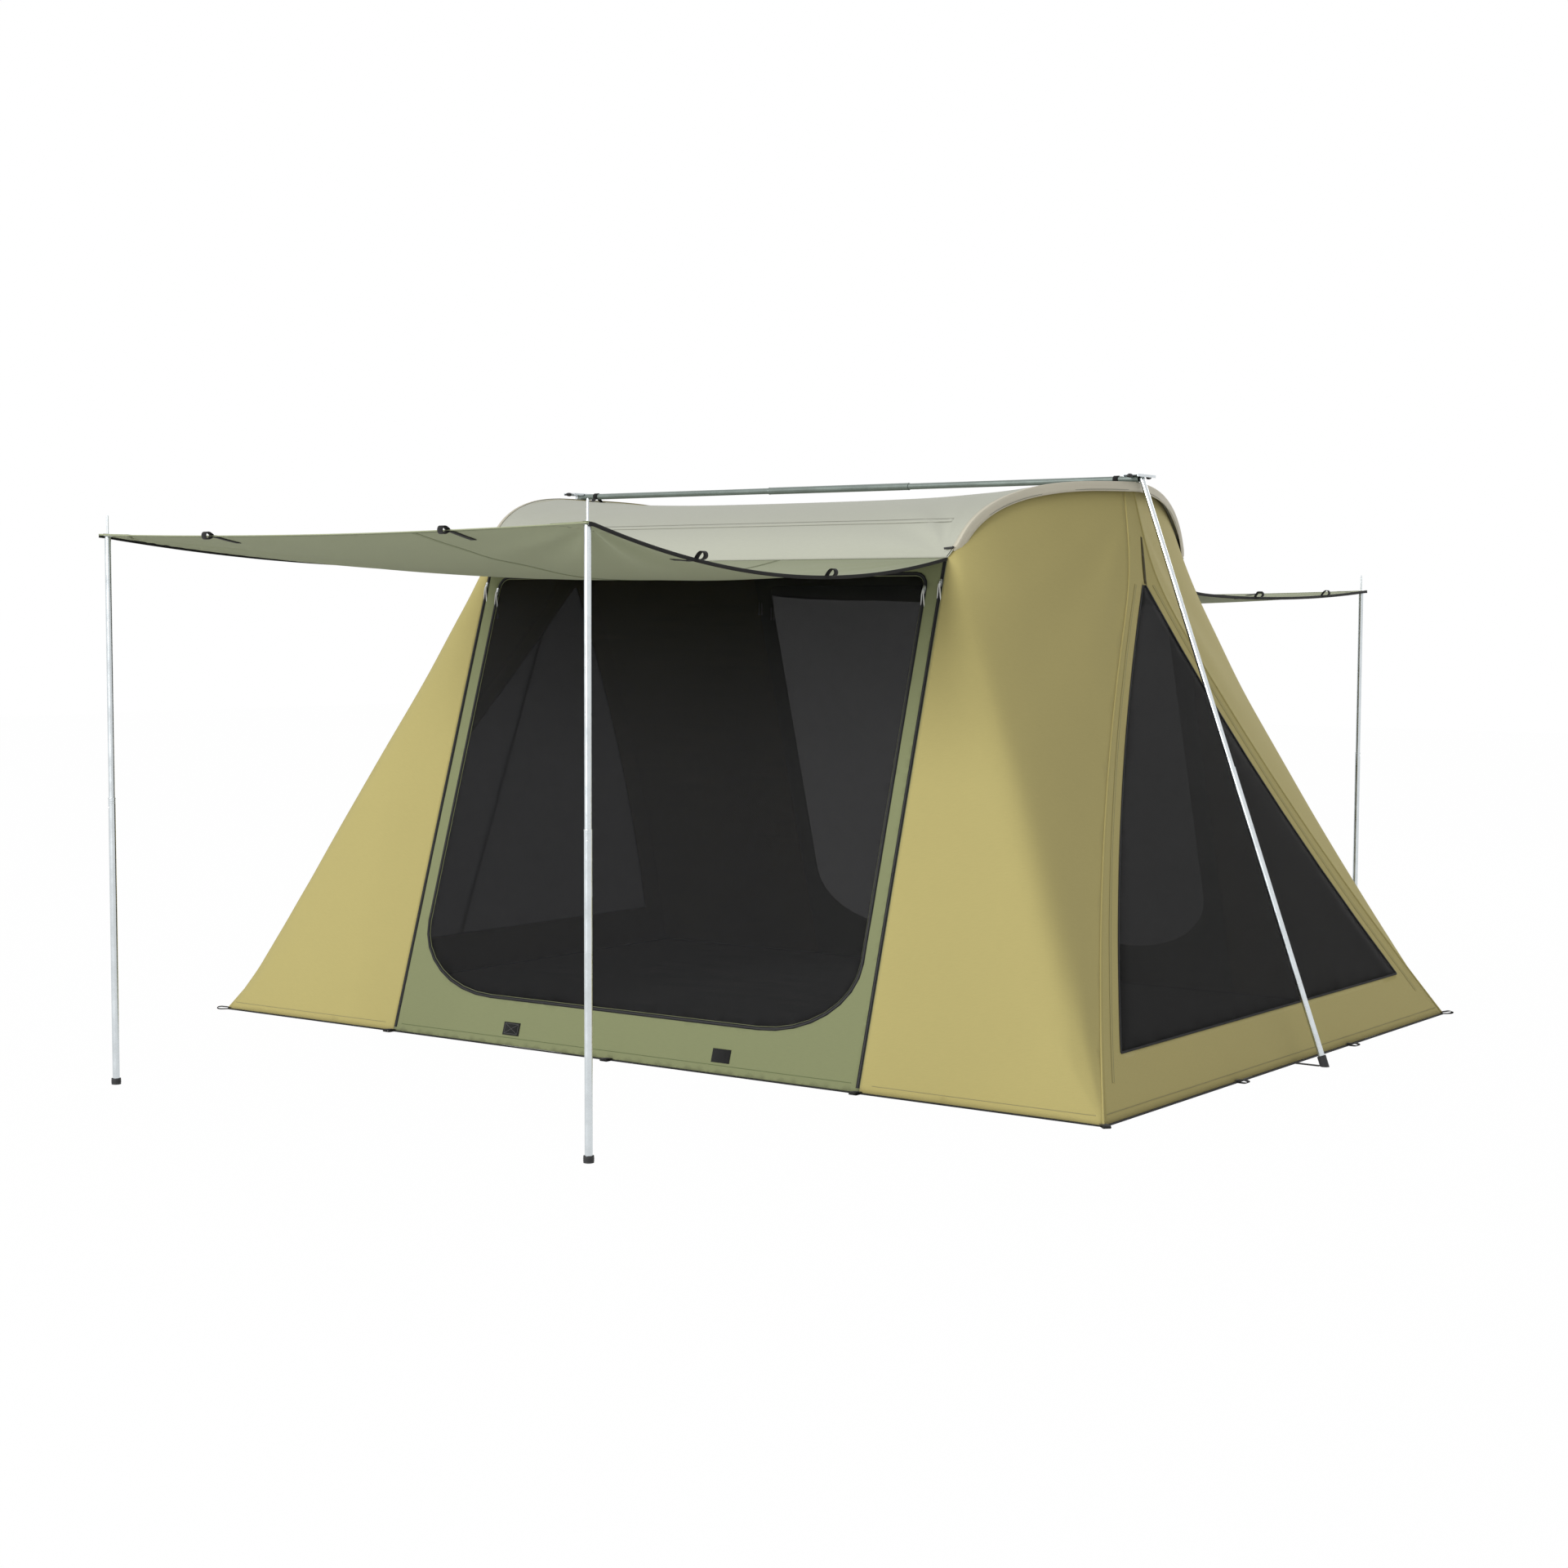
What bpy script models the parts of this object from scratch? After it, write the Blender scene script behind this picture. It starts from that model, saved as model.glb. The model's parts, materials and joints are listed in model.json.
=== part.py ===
"""Screen tent: a 10 by 14 foot fly-screen cabin with two awnings, a ridge bar and bow rods."""

import math

import bmesh
import bpy
import numpy as np
from mathutils import Matrix, Vector

# Driving dimensions, in metres. X runs along the long walls, Y from front to back, Z up.
FLOOR_LENGTH = 4.27
FLOOR_WIDTH = 3.05
FLOOR_SHEET = 0.004
CLOTH = 0.0012
FIT = 0.0003
WALL_FOOT = FLOOR_SHEET + CLOTH / 2 + FIT

SEAM_FOOT_X = 1.15
EAVE_X = 1.136
EAVE_HEIGHT = 1.92

ARCH_HALF = 0.95
ARCH_RISE = 0.312
ARCH_TOP = EAVE_HEIGHT + ARCH_RISE
ARCH_TUCK = 0.12
ARCH_BASE = EAVE_HEIGHT - ARCH_TUCK
ARCH_POWER = 2.7
ARCH_LEAN = 0.257
ROOF_OVERHANG = 0.037
ROOF_TIP_RISE = 0.055
ROOF_TIP_HEIGHT = EAVE_HEIGHT + ROOF_TIP_RISE
ROOF_SAG = 0.05
PEAK_HALF = 0.035

NECK_X = 1.45
NECK_Y = 0.075
NECK_DROP = 0.04
NECK_HEIGHT = EAVE_HEIGHT - NECK_DROP
END_WALL_SAG = 0.06
FRONT_WING_BILLOW = 0.01
BACK_WING_BILLOW = -0.05
BILLOW_AIM = (0.35, 0.94, 0.1)

DOOR_MARGIN = 0.085
DOOR_SILL = 0.185
DOOR_HEAD = 0.07
DOOR_CORNER_TOP = 0.04
DOOR_CORNER_WIDE = 0.40
DOOR_CORNER_HIGH = 0.27

WINDOW_SILL = 0.20
WINDOW_APEX_DROP = 0.09
WINDOW_APEX = EAVE_HEIGHT - WINDOW_APEX_DROP
WINDOW_HALF_FOOT = 1.235
WINDOW_HALF_NECK = 0.012

ROD_DIAMETER = 0.0095
ROD_INSET = 0.012
ROD_END_GAP = 0.02
ROD_SLACK = 0.0007

RIDGE_TUBE = 0.0254
RIDGE_SLEEVE = 0.0300
RIDGE_SLEEVE_HALF = 0.36
TUBE_WALL = 0.0012
TUBE_FLOOR = 0.006
POLE_HEAD_X = 1.447
BRACKET_X = 1.435
BRACKET_WIDTH = 0.066
BRACKET_LENGTH = 0.150
BRACKET_WALL = 0.003
BRACKET_LIP = 0.007

END_POLE_LOWER = 0.0254
END_POLE_UPPER = 0.0222
END_POLE_FOOT_OUT = 0.125
END_POLE_INSERT = 0.16
END_POLE_JOINT = 0.50
END_POLE_SHOE = 0.034
SHOE_HEIGHT = 0.030
STRAP_WIDTH = 0.025
STRAP_THICK = 0.002

AWNING_REACH = 2.04
AWNING_HALF = 1.115
AWNING_LAP = 0.022
FRONT_AWNING_LIFT = 0.06
BACK_AWNING_LIFT = 0.025
FRONT_ROOT_DROP = 0.0
BACK_ROOT_DROP = 0.10
ROOT_RUN = 0.045
FRONT_LEFT_SAG = 0.04
FRONT_RIGHT_SAG = 0.11
BACK_SIDE_SAG = 0.03
AWNING_EDGE_SAG = 0.018
AWNING_BELLY = 0.03
ROOT_ROWS = (0.015, 0.04, 0.08, 0.14)
GROMMET_HOLE = 0.018
GROMMET_CUT = 0.06

POLE_LOWER = 0.0254
POLE_UPPER = 0.0222
POLE_BORE_GAP = 0.0005
POLE_JOINT_HEIGHT = 1.04
POLE_INSERT = 0.42
POLE_FOOT = 0.034
POLE_FOOT_HEIGHT = 0.022
POLE_FOOT_FLOOR = 0.004
SPIKE = 0.008
SPIKE_LENGTH = 0.075

ZIP_WIDTH = 0.014
ZIP_THICK = 0.0015
ZIP_MARGIN = 0.002
ZIP_END = 0.015
SLIDER_LENGTH = 0.030
SLIDER_WIDTH = 0.012
SLIDER_DROP = 0.10
PULL_CORD = 0.004
PULL_LENGTH = 0.11

PEG_LOOP_WIDTH = 0.025
PEG_LOOP_OUT = 0.055

WALL_ROWS = 11
ARCH_STEPS = 9
DOOR_CORNER_STEPS = 8
ROOF_COLUMNS = 8
AWNING_ROWS = 9
AWNING_COLUMNS = 10
ROUND = 16

# Each finish is red, green, blue, alpha, roughness and metallic.
FINISHES = {
    "green_canvas": (0.30, 0.34, 0.17, 1.0, 0.85, 0.0),
    "tan_canvas": (0.47, 0.42, 0.22, 1.0, 0.85, 0.0),
    "roof_canvas": (0.58, 0.57, 0.48, 1.0, 0.8, 0.0),
    "mesh_net": (0.03, 0.03, 0.03, 1.0, 0.8, 0.0),
    "steel_tube": (0.62, 0.65, 0.66, 1.0, 0.35, 1.0),
    "ridge_tube": (0.30, 0.35, 0.33, 1.0, 0.4, 1.0),
    "black_webbing": (0.015, 0.015, 0.015, 1.0, 0.8, 0.0),
    "black_plastic": (0.02, 0.02, 0.02, 1.0, 0.5, 0.0),
    "white_cord": (0.8, 0.8, 0.78, 1.0, 0.7, 0.0),
    "rod_black": (0.03, 0.03, 0.03, 1.0, 0.5, 0.0),
}


def clear_scene():
    for item in list(bpy.data.objects):
        bpy.data.objects.remove(item, do_unlink=True)


def material(name):
    found = bpy.data.materials.get(name)
    if found:
        return found
    red, green, blue, alpha, roughness, metal = FINISHES[name]
    made = bpy.data.materials.new(name)
    made.use_nodes = True
    shader = made.node_tree.nodes["Principled BSDF"]
    shader.inputs["Base Color"].default_value = (red, green, blue, alpha)
    shader.inputs["Roughness"].default_value = roughness
    shader.inputs["Metallic"].default_value = metal
    return made


def guide(name, place):
    """An empty on a joint's axis, which carries the pieces that move with it."""
    empty = bpy.data.objects.new(name, None)
    empty.location = place
    bpy.context.scene.collection.objects.link(empty)
    return empty


def add_object(name, bm, finish, origin=(0, 0, 0), parent=None, smooth=False):
    """The mesh is given in world places; its object sits at origin, on its joint's axis."""
    origin = Vector(origin)
    bmesh.ops.remove_doubles(bm, verts=bm.verts, dist=1e-6)
    bmesh.ops.recalc_face_normals(bm, faces=bm.faces)
    if bm.calc_volume(signed=True) < 0:
        bmesh.ops.reverse_faces(bm, faces=bm.faces)
    bmesh.ops.translate(bm, verts=bm.verts, vec=-origin)
    mesh = bpy.data.meshes.new(name)
    bm.to_mesh(mesh)
    bm.free()
    mesh.materials.append(material(finish))
    if smooth:
        mesh.shade_smooth()
        mesh.set_sharp_from_angle(angle=math.radians(40))
    made = bpy.data.objects.new(name, mesh)
    bpy.context.scene.collection.objects.link(made)
    if parent:
        made.parent = parent
        made.location = origin - parent.location
    else:
        made.location = origin
    return made


def turned(profile, steps=ROUND):
    """A closed body turned about Z from a closed outline of (radius, height) points."""
    bm = bmesh.new()
    verts = [bm.verts.new((radius, 0.0, height)) for radius, height in profile]
    edges = [bm.edges.new((a, b)) for a, b in zip(verts, verts[1:] + verts[:1])]
    bmesh.ops.spin(
        bm, geom=verts + edges, cent=(0, 0, 0), axis=(0, 0, 1),
        angle=2 * math.pi, steps=steps, use_merge=True,
    )
    bmesh.ops.remove_doubles(bm, verts=bm.verts, dist=1e-7)
    loose = [v for v in bm.verts if not v.link_faces]
    bmesh.ops.delete(bm, geom=loose, context="VERTS")
    spare = [e for e in bm.edges if not e.link_faces]
    bmesh.ops.delete(bm, geom=spare, context="EDGES")
    return bm


def turned_solid(profile, steps=ROUND):
    """A solid of revolution whose outline starts and ends on the axis."""
    bm = bmesh.new()
    verts = [bm.verts.new((radius, 0.0, height)) for radius, height in profile]
    edges = [bm.edges.new((a, b)) for a, b in zip(verts, verts[1:])]
    bmesh.ops.spin(
        bm, geom=verts + edges, cent=(0, 0, 0), axis=(0, 0, 1),
        angle=2 * math.pi, steps=steps, use_merge=True,
    )
    bmesh.ops.remove_doubles(bm, verts=bm.verts, dist=1e-7)
    spare = [e for e in bm.edges if not e.link_faces]
    bmesh.ops.delete(bm, geom=spare, context="EDGES")
    return bm


def aimed(bm, start, direction):
    """Turns a body from +Z towards direction and moves its base to start."""
    turn = Vector((0, 0, 1)).rotation_difference(Vector(direction).normalized())
    bmesh.ops.rotate(bm, verts=bm.verts, cent=(0, 0, 0), matrix=turn.to_matrix())
    bmesh.ops.translate(bm, verts=bm.verts, vec=Vector(start))
    return bm


def framed(bm, start, along, across):
    """Lays a body made along +Z, with its width on X, along one direction and across another."""
    z_axis = Vector(along).normalized()
    x_axis = Vector(across) - Vector(across).dot(z_axis) * z_axis
    x_axis.normalize()
    y_axis = z_axis.cross(x_axis)
    turn = Matrix((x_axis, y_axis, z_axis)).transposed()
    bmesh.ops.rotate(bm, verts=bm.verts, cent=(0, 0, 0), matrix=turn)
    bmesh.ops.translate(bm, verts=bm.verts, vec=Vector(start))
    return bm


def box(width, depth, height):
    """A box from z = 0 to height, centred on X and from y = 0 to depth."""
    bm = bmesh.new()
    bmesh.ops.create_cube(bm, size=1.0)
    bmesh.ops.scale(bm, verts=bm.verts, vec=(width, depth, height))
    bmesh.ops.translate(bm, verts=bm.verts, vec=(0, depth / 2, height / 2))
    return bm


def rod_along(name, points, radius, finish):
    """A round rod along a smooth list of points."""
    curve = bpy.data.curves.new(name, "CURVE")
    curve.dimensions = "3D"
    curve.bevel_depth = radius
    curve.bevel_resolution = 2
    curve.use_fill_caps = True
    spline = curve.splines.new("POLY")
    spline.points.add(len(points) - 1)
    for spot, place in zip(spline.points, points):
        spot.co = (place[0], place[1], place[2], 1.0)
    made = bpy.data.objects.new(name, curve)
    curve.materials.append(material(finish))
    bpy.context.scene.collection.objects.link(made)
    return made


class ClothShell:
    """The tent's skin as one surface, cut along its seams into panels of even thickness."""

    def __init__(self):
        self.points = []
        self.panels = {}

    def point(self, place):
        place = Vector(place)
        for index, known in enumerate(self.points):
            if (known - place).length_squared < 1e-9:
                return index
        self.points.append(place)
        return len(self.points) - 1

    def face(self, name, places, outward):
        ring = []
        for place in places:
            index = self.point(place)
            if index not in ring:
                ring.append(index)
        if len(ring) < 3:
            return
        if self.normal(ring).dot(Vector(outward)) < 0:
            ring.reverse()
        panel = self.panels.setdefault(name, [])
        if len(ring) != 4:
            panel.append(ring)
            return
        a, b, c, d = ring
        one = (self.points[a] - self.points[c]).length
        other = (self.points[b] - self.points[d]).length
        panel += [[a, b, c], [a, c, d]] if one <= other else [[b, c, d], [b, d, a]]

    def grid(self, name, rows, outward):
        for low, high in zip(rows, rows[1:]):
            for k in range(len(low) - 1):
                self.face(name, (low[k], low[k + 1], high[k + 1], high[k]), outward)

    def normal(self, ring):
        total = Vector((0, 0, 0))
        for a, b in zip(ring, ring[1:] + ring[:1]):
            total += self.points[a].cross(self.points[b])
        return total.normalized()

    def offsets(self):
        """How far each point moves for the outer face to lie one unit out from every panel."""
        around = {}
        for rings in self.panels.values():
            for ring in rings:
                for index in ring:
                    around.setdefault(index, []).append(self.normal(ring))
        result = {}
        for index, normals in around.items():
            rows = np.array([tuple(n) for n in normals])
            step = np.linalg.lstsq(rows, np.ones(len(rows)), rcond=0.05)[0]
            result[index] = Vector(step)
        return result

    def solid(self, name, offsets, gap=FIT):
        rings = self.panels[name]
        count = {}
        for ring in rings:
            for a, b in zip(ring, ring[1:] + ring[:1]):
                count.setdefault((min(a, b), max(a, b)), []).append((a, b, self.normal(ring)))
        inward = {}
        for sides in count.values():
            if len(sides) == 1:
                a, b, normal = sides[0]
                step = normal.cross(self.points[b] - self.points[a]).normalized()
                inward.setdefault(a, []).append(step)
                inward.setdefault(b, []).append(step)
        shift = {}
        for index, steps in inward.items():
            rows = np.array([tuple(s) for s in steps])
            shift[index] = Vector(np.linalg.lstsq(rows, np.ones(len(rows)), rcond=0.05)[0])
        bm = bmesh.new()
        outer, inner = {}, {}
        for ring in rings:
            for index in ring:
                if index not in outer:
                    place = self.points[index] + shift.get(index, Vector()) * gap / 2
                    outer[index] = bm.verts.new(place + offsets[index] * CLOTH / 2)
                    inner[index] = bm.verts.new(place - offsets[index] * CLOTH / 2)
        for ring in rings:
            bm.faces.new([outer[i] for i in ring])
            bm.faces.new([inner[i] for i in reversed(ring)])
        for sides in count.values():
            if len(sides) == 1:
                a, b, normal = sides[0]
                bm.faces.new((outer[b], outer[a], inner[a], inner[b]))
        return bm


def arch_angle(height):
    """Where the arch reaches a height, as an angle from its side towards the ridge."""
    share = (height - ARCH_BASE) / (ARCH_TOP - ARCH_BASE)
    return math.asin(share ** (ARCH_POWER / 2))


def arch_point(share, foot_height, foot_x):
    """A point of an arch that starts at foot_height and foot_x: share 1 is the ridge."""
    start = arch_angle(foot_height)
    angle = start + (math.pi / 2 - start) * share
    reach = max(math.cos(angle), 0.0) ** (2 / ARCH_POWER)
    lift = math.sin(angle) ** (2 / ARCH_POWER)
    lean = 1 - reach / math.cos(start) ** (2 / ARCH_POWER)
    height = ARCH_BASE + (ARCH_TOP - ARCH_BASE) * lift
    return Vector((foot_x + ARCH_LEAN * lean, ARCH_HALF * reach, height))


def arch_normal(share, foot_height, foot_x):
    """The roof's outward direction there, in the plane across the tent."""
    near = arch_point(max(share - 0.01, 0.0), foot_height, foot_x)
    far = arch_point(min(share + 0.01, 1.0), foot_height, foot_x)
    return Vector((0, far.z - near.z, near.y - far.y)).normalized()


def arch_shares():
    """Shares of the arch from the eave to the edge of the peak, and last the ridge itself."""
    start = arch_angle(EAVE_HEIGHT)
    peak = math.acos((PEAK_HALF / ARCH_HALF) ** (ARCH_POWER / 2))
    last = (peak - start) / (math.pi / 2 - start)
    return [last * k / ARCH_STEPS for k in range(ARCH_STEPS + 1)] + [1.0]


def roof_rows():
    """Rows of the roof from the front eave over the ridge to the back eave."""
    half = []
    for share in arch_shares():
        edge = arch_point(share, ROOF_TIP_HEIGHT, EAVE_X + ROOF_OVERHANG)
        seat = arch_point(share, EAVE_HEIGHT, EAVE_X)
        columns = [(-edge.x, edge.y, edge.z), (-seat.x, seat.y, seat.z)]
        for k in range(1, ROOF_COLUMNS):
            run = -math.cos(math.pi * k / ROOF_COLUMNS)
            dip = ROOF_SAG * (1 - run**4) * math.sin(math.pi / 2 * share)
            columns.append((seat.x * run, seat.y, seat.z - dip))
        columns += [(seat.x, seat.y, seat.z), (edge.x, edge.y, edge.z)]
        half.append(columns)
    front = [[(x, -y, z) for x, y, z in row] for row in half]
    return front + [list(row) for row in reversed(half[:-1])]


def under_roof(share, side_x, side_y):
    """Where a wing's top edge meets the underside of the roof."""
    place = arch_point(share, EAVE_HEIGHT, EAVE_X)
    place -= arch_normal(share, EAVE_HEIGHT, EAVE_X) * (CLOTH + CLOTH / 2 + FIT)
    return Vector((place.x * side_x, place.y * side_y, place.z))


def peak_edge():
    """The corner seam's upper end, at the edge of the peak."""
    return under_roof(arch_shares()[-2], 1, 1)


def corner_seam(height, side_x, side_y):
    """The seam between a wing and an end wall, from the floor corner up to the peak."""
    peak = peak_edge()
    if height <= NECK_HEIGHT:
        share = (height - WALL_FOOT) / (NECK_HEIGHT - WALL_FOOT)
        x = FLOOR_LENGTH / 2 + (NECK_X - FLOOR_LENGTH / 2) * share
        x -= END_WALL_SAG * 4 * share * (1 - share)
        y = FLOOR_WIDTH / 2 + (NECK_Y - FLOOR_WIDTH / 2) * share
    else:
        share = (height - NECK_HEIGHT) / (peak.z - NECK_HEIGHT)
        x = NECK_X + (peak.x - NECK_X) * share
        y = NECK_Y + (peak.y - NECK_Y) * share
    return Vector((x * side_x, y * side_y, height))


def eave_corner(side_x, side_y):
    return under_roof(0.0, side_x, side_y)


def wall_heights():
    """Heights of the rows that the wings and the end walls share."""
    peak = peak_edge()
    below = [WALL_FOOT, WINDOW_SILL]
    steps = WALL_ROWS - 4
    for k in range(1, steps):
        below.append(WINDOW_SILL + (WINDOW_APEX - WINDOW_SILL) * k / steps)
    return below + [WINDOW_APEX, (WINDOW_APEX + peak.z) / 2, peak.z]


def wing_rows(side_x, side_y):
    """A wing: flat from its zip seam to the line from eave to floor corner, then bent to the peak."""
    heights = wall_heights()
    seam_foot = Vector((SEAM_FOOT_X * side_x, FLOOR_WIDTH / 2 * side_y, WALL_FOOT))
    eave = eave_corner(side_x, side_y)
    corner = [corner_seam(h, side_x, side_y) for h in heights]
    top = [under_roof(share, side_x, side_y) for share in arch_shares()[:-1]]
    floor, peak = corner[0], top[-1]
    billow = FRONT_WING_BILLOW if side_y < 0 else BACK_WING_BILLOW
    out = Vector((BILLOW_AIM[0] * side_x, BILLOW_AIM[1] * side_y, BILLOW_AIM[2]))
    rows = []
    for h, edge in zip(heights, corner):
        v = (h - heights[0]) / (heights[-1] - heights[0])
        row = []
        for k, crown in enumerate(top):
            u = k / (len(top) - 1)
            past = u + v - 1
            if past <= 1e-9:
                place = seam_foot + (floor - seam_foot) * u + (eave - seam_foot) * v
            else:
                place = eave * (1 - u) + floor * (1 - v) + peak * past
                place += (crown - eave.lerp(peak, u)) * past / u
                place += (edge - floor.lerp(peak, v)) * past / v
            place += out * billow * 16 * u * (1 - u) * v * (1 - v)
            row.append(place)
        rows.append(row)
    return rows


def end_wall_rows(side):
    """An end wall's rows: corner seam, window edge, middle, window edge, corner seam."""
    rows = []
    for height in wall_heights():
        edge = corner_seam(height, side, 1)
        share = (height - WINDOW_SILL) / (WINDOW_APEX - WINDOW_SILL)
        share = min(max(share, 0.0), 1.0)
        half = WINDOW_HALF_FOOT + (WINDOW_HALF_NECK - WINDOW_HALF_FOOT) * share
        if height > WINDOW_APEX + 1e-6:
            half = 0.0
        if height < WINDOW_SILL - 1e-6:
            half = WINDOW_HALF_FOOT
        ys = [-edge.y, -half, 0.0, half, edge.y]
        rows.append([Vector((edge.x, y, height)) for y in ys])
    return rows


def wall_frame(side):
    """The slanting plane of a front or back wall: its foot line's middle and its two axes."""
    foot = Vector((0, FLOOR_WIDTH / 2 * side, WALL_FOOT))
    head = eave_corner(1, side)
    up = Vector((0, head.y - foot.y, head.z - foot.z))
    return foot, up.normalized(), up.length


def door_outline(inset=0.0):
    """The opening's outline in its wall's plane, counter-clockwise from the lower right."""
    foot, up, rise = wall_frame(-1)
    low = DOOR_SILL / up.z + inset
    high = rise - DOOR_HEAD - inset
    points = []

    def half_at(level):
        share = level / rise
        return SEAM_FOOT_X + (EAVE_X - SEAM_FOOT_X) * share - DOOR_MARGIN - inset

    # Side, height, the corner's width and height, and the angle at which its arc starts.
    corners = (
        (1, low, DOOR_CORNER_WIDE, DOOR_CORNER_HIGH, -90),
        (1, high, DOOR_CORNER_TOP, DOOR_CORNER_TOP, 0),
        (-1, high, DOOR_CORNER_TOP, DOOR_CORNER_TOP, 90),
        (-1, low, DOOR_CORNER_WIDE, DOOR_CORNER_HIGH, 180),
    )
    for sign, level, wide, tall, start in corners:
        wide -= inset
        tall -= inset
        centre_v = level + tall if level < rise / 2 else level - tall
        steps = DOOR_CORNER_STEPS if level < rise / 2 else DOOR_CORNER_STEPS // 2
        for k in range(steps + 1):
            turn = math.radians(start + 90 * k / steps)
            u = sign * (half_at(centre_v) - wide) + wide * math.cos(turn)
            points.append((u, centre_v + tall * math.sin(turn)))
    return points


def wall_with_door(shell, wall, door, side):
    """Fills the wall around its opening, and the opening with the mesh door."""
    foot, up, rise = wall_frame(side)
    heights = wall_heights()
    right = []
    for h in heights:
        v = (h - heights[0]) / (heights[-1] - heights[0])
        right.append((SEAM_FOOT_X + (EAVE_X - SEAM_FOOT_X) * v, rise * v))
    outer = right + [(-u, v) for u, v in reversed(right)]
    hole = door_outline()
    bm = bmesh.new()
    edges = []
    for loop in (outer, hole):
        verts = [bm.verts.new((u, v, 0)) for u, v in loop]
        edges += [bm.edges.new((a, b)) for a, b in zip(verts, verts[1:] + verts[:1])]
    bmesh.ops.triangle_fill(bm, edges=edges, use_beauty=True, normal=(0, 0, 1))

    def placed(u, v):
        return Vector((u, foot.y, foot.z)) + up * v

    for face in bm.faces:
        ring = [placed(vert.co.x, vert.co.y) for vert in face.verts]
        shell.face(wall, ring, (0, side, 0))
    bm.free()
    shell.face(door, [placed(u, v) for u, v in hole], (0, side, 0))


def build_shell():
    shell = ClothShell()
    for side_y, depth in ((-1, "front"), (1, "back")):
        wall_with_door(shell, depth + "_wall", depth + "_screen_door", side_y)
        for side_x, hand in ((-1, "left"), (1, "right")):
            rows = wing_rows(side_x, side_y)
            shell.grid(depth + "_" + hand + "_wing", rows, (side_x, side_y, 0))
    for side, hand in ((-1, "left"), (1, "right")):
        rows = end_wall_rows(side)
        for low, high in zip(rows, rows[1:]):
            for k in range(4):
                inside = k in (1, 2) and low[0].z > WINDOW_SILL - 1e-6
                inside = inside and high[0].z < WINDOW_APEX + 1e-6
                name = hand + ("_window" if inside else "_end_wall")
                shell.face(name, (low[k], low[k + 1], high[k + 1], high[k]), (side, 0, 0))
    return shell


def build_walls():
    shell = build_shell()
    offsets = shell.offsets()
    for name in shell.panels:
        if name.endswith("screen_door"):
            side = -1 if name.startswith("front") else 1
            finish, origin = "mesh_net", door_hinge(side)
        elif name.endswith("window"):
            finish, origin = "mesh_net", (0, 0, 0)
        elif name in ("front_wall", "back_wall"):
            finish, origin = "green_canvas", (0, 0, 0)
        else:
            finish, origin = "tan_canvas", (0, 0, 0)
        add_object(name, shell.solid(name, offsets), finish, origin)


def door_hinge(side):
    """The middle of the door's top edge, on its outer face."""
    foot, up, rise = wall_frame(side)
    out = Vector((0, up.z * side, -up.y * side))
    return foot + up * (rise - DOOR_HEAD) + out * CLOTH / 2


def build_roof():
    shell = ClothShell()
    shell.grid("roof", roof_rows(), (0, 0, 1))
    offsets = shell.offsets()
    add_object("roof", shell.solid("roof", offsets, 0.0), "roof_canvas")


def build_floor():
    """The groundsheet with its peg loops along the edges."""
    half_x = FLOOR_LENGTH / 2 + CLOTH
    half_y = FLOOR_WIDTH / 2 + CLOTH
    loops_x = (-SEAM_FOOT_X, 0.0, SEAM_FOOT_X)
    loops_y = (-FLOOR_WIDTH / 6, FLOOR_WIDTH / 6)
    half = PEG_LOOP_WIDTH / 2
    side = []
    for x in loops_x:
        side += [(x - half, -half_y), (x - half, -half_y - PEG_LOOP_OUT)]
        side += [(x + half, -half_y - PEG_LOOP_OUT), (x + half, -half_y)]
    end = []
    for y in loops_y:
        end += [(half_x, y - half), (half_x + PEG_LOOP_OUT, y - half)]
        end += [(half_x + PEG_LOOP_OUT, y + half), (half_x, y + half)]
    slant = half * math.sqrt(2)
    out = PEG_LOOP_OUT / math.sqrt(2)
    corner = [
        (half_x - slant, -half_y), (half_x - slant + out, -half_y - out),
        (half_x + out, -half_y + slant - out), (half_x, -half_y + slant),
    ]
    back = [(x, -y) for x, y in reversed(corner)] + [(-x, -y) for x, y in side]
    left = [(-x, -y) for x, y in corner] + [(-x, -y) for x, y in end]
    left += [(-x, y) for x, y in reversed(corner)]
    outline = side + corner + end + back + left
    bm = bmesh.new()
    face = bm.faces.new([bm.verts.new((x, y, 0.0)) for x, y in outline])
    up = bmesh.ops.extrude_face_region(bm, geom=[face])
    raised = [v for v in up["geom"] if isinstance(v, bmesh.types.BMVert)]
    bmesh.ops.translate(bm, verts=raised, vec=(0, 0, FLOOR_SHEET))
    add_object("groundsheet", bm, "black_webbing")


def rod_points(side):
    """The bow rod's line, just under the roof near its open edge."""
    drop = ROD_DIAMETER / 2 + CLOTH / 2 + ROD_SLACK
    half = []
    for share in arch_shares():
        edge = arch_point(share, ROOF_TIP_HEIGHT, EAVE_X + ROOF_OVERHANG)
        seat = arch_point(share, EAVE_HEIGHT, EAVE_X)
        place = edge.lerp(seat, ROD_INSET / ROOF_OVERHANG)
        half.append(place - arch_normal(share, ROOF_TIP_HEIGHT, EAVE_X) * drop)
    half[0] += (half[1] - half[0]).normalized() * ROD_END_GAP
    front = [Vector((p.x * side, -p.y, p.z)) for p in half]
    back = [Vector((p.x * side, p.y, p.z)) for p in reversed(half[:-1])]
    return front + back


def build_rods():
    for side, hand in ((-1, "left"), (1, "right")):
        rod_along(hand + "_bow_rod", rod_points(side), ROD_DIAMETER / 2, "rod_black")


def ridge_height():
    """The ridge bar's axis: the bar lies on the roof's two end arches."""
    return ARCH_TOP + CLOTH + FIT + RIDGE_TUBE / 2


def pole_head(side):
    """The pivot of an end pole, at the ridge bar's end."""
    return Vector((POLE_HEAD_X * side, 0, ridge_height()))


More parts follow.
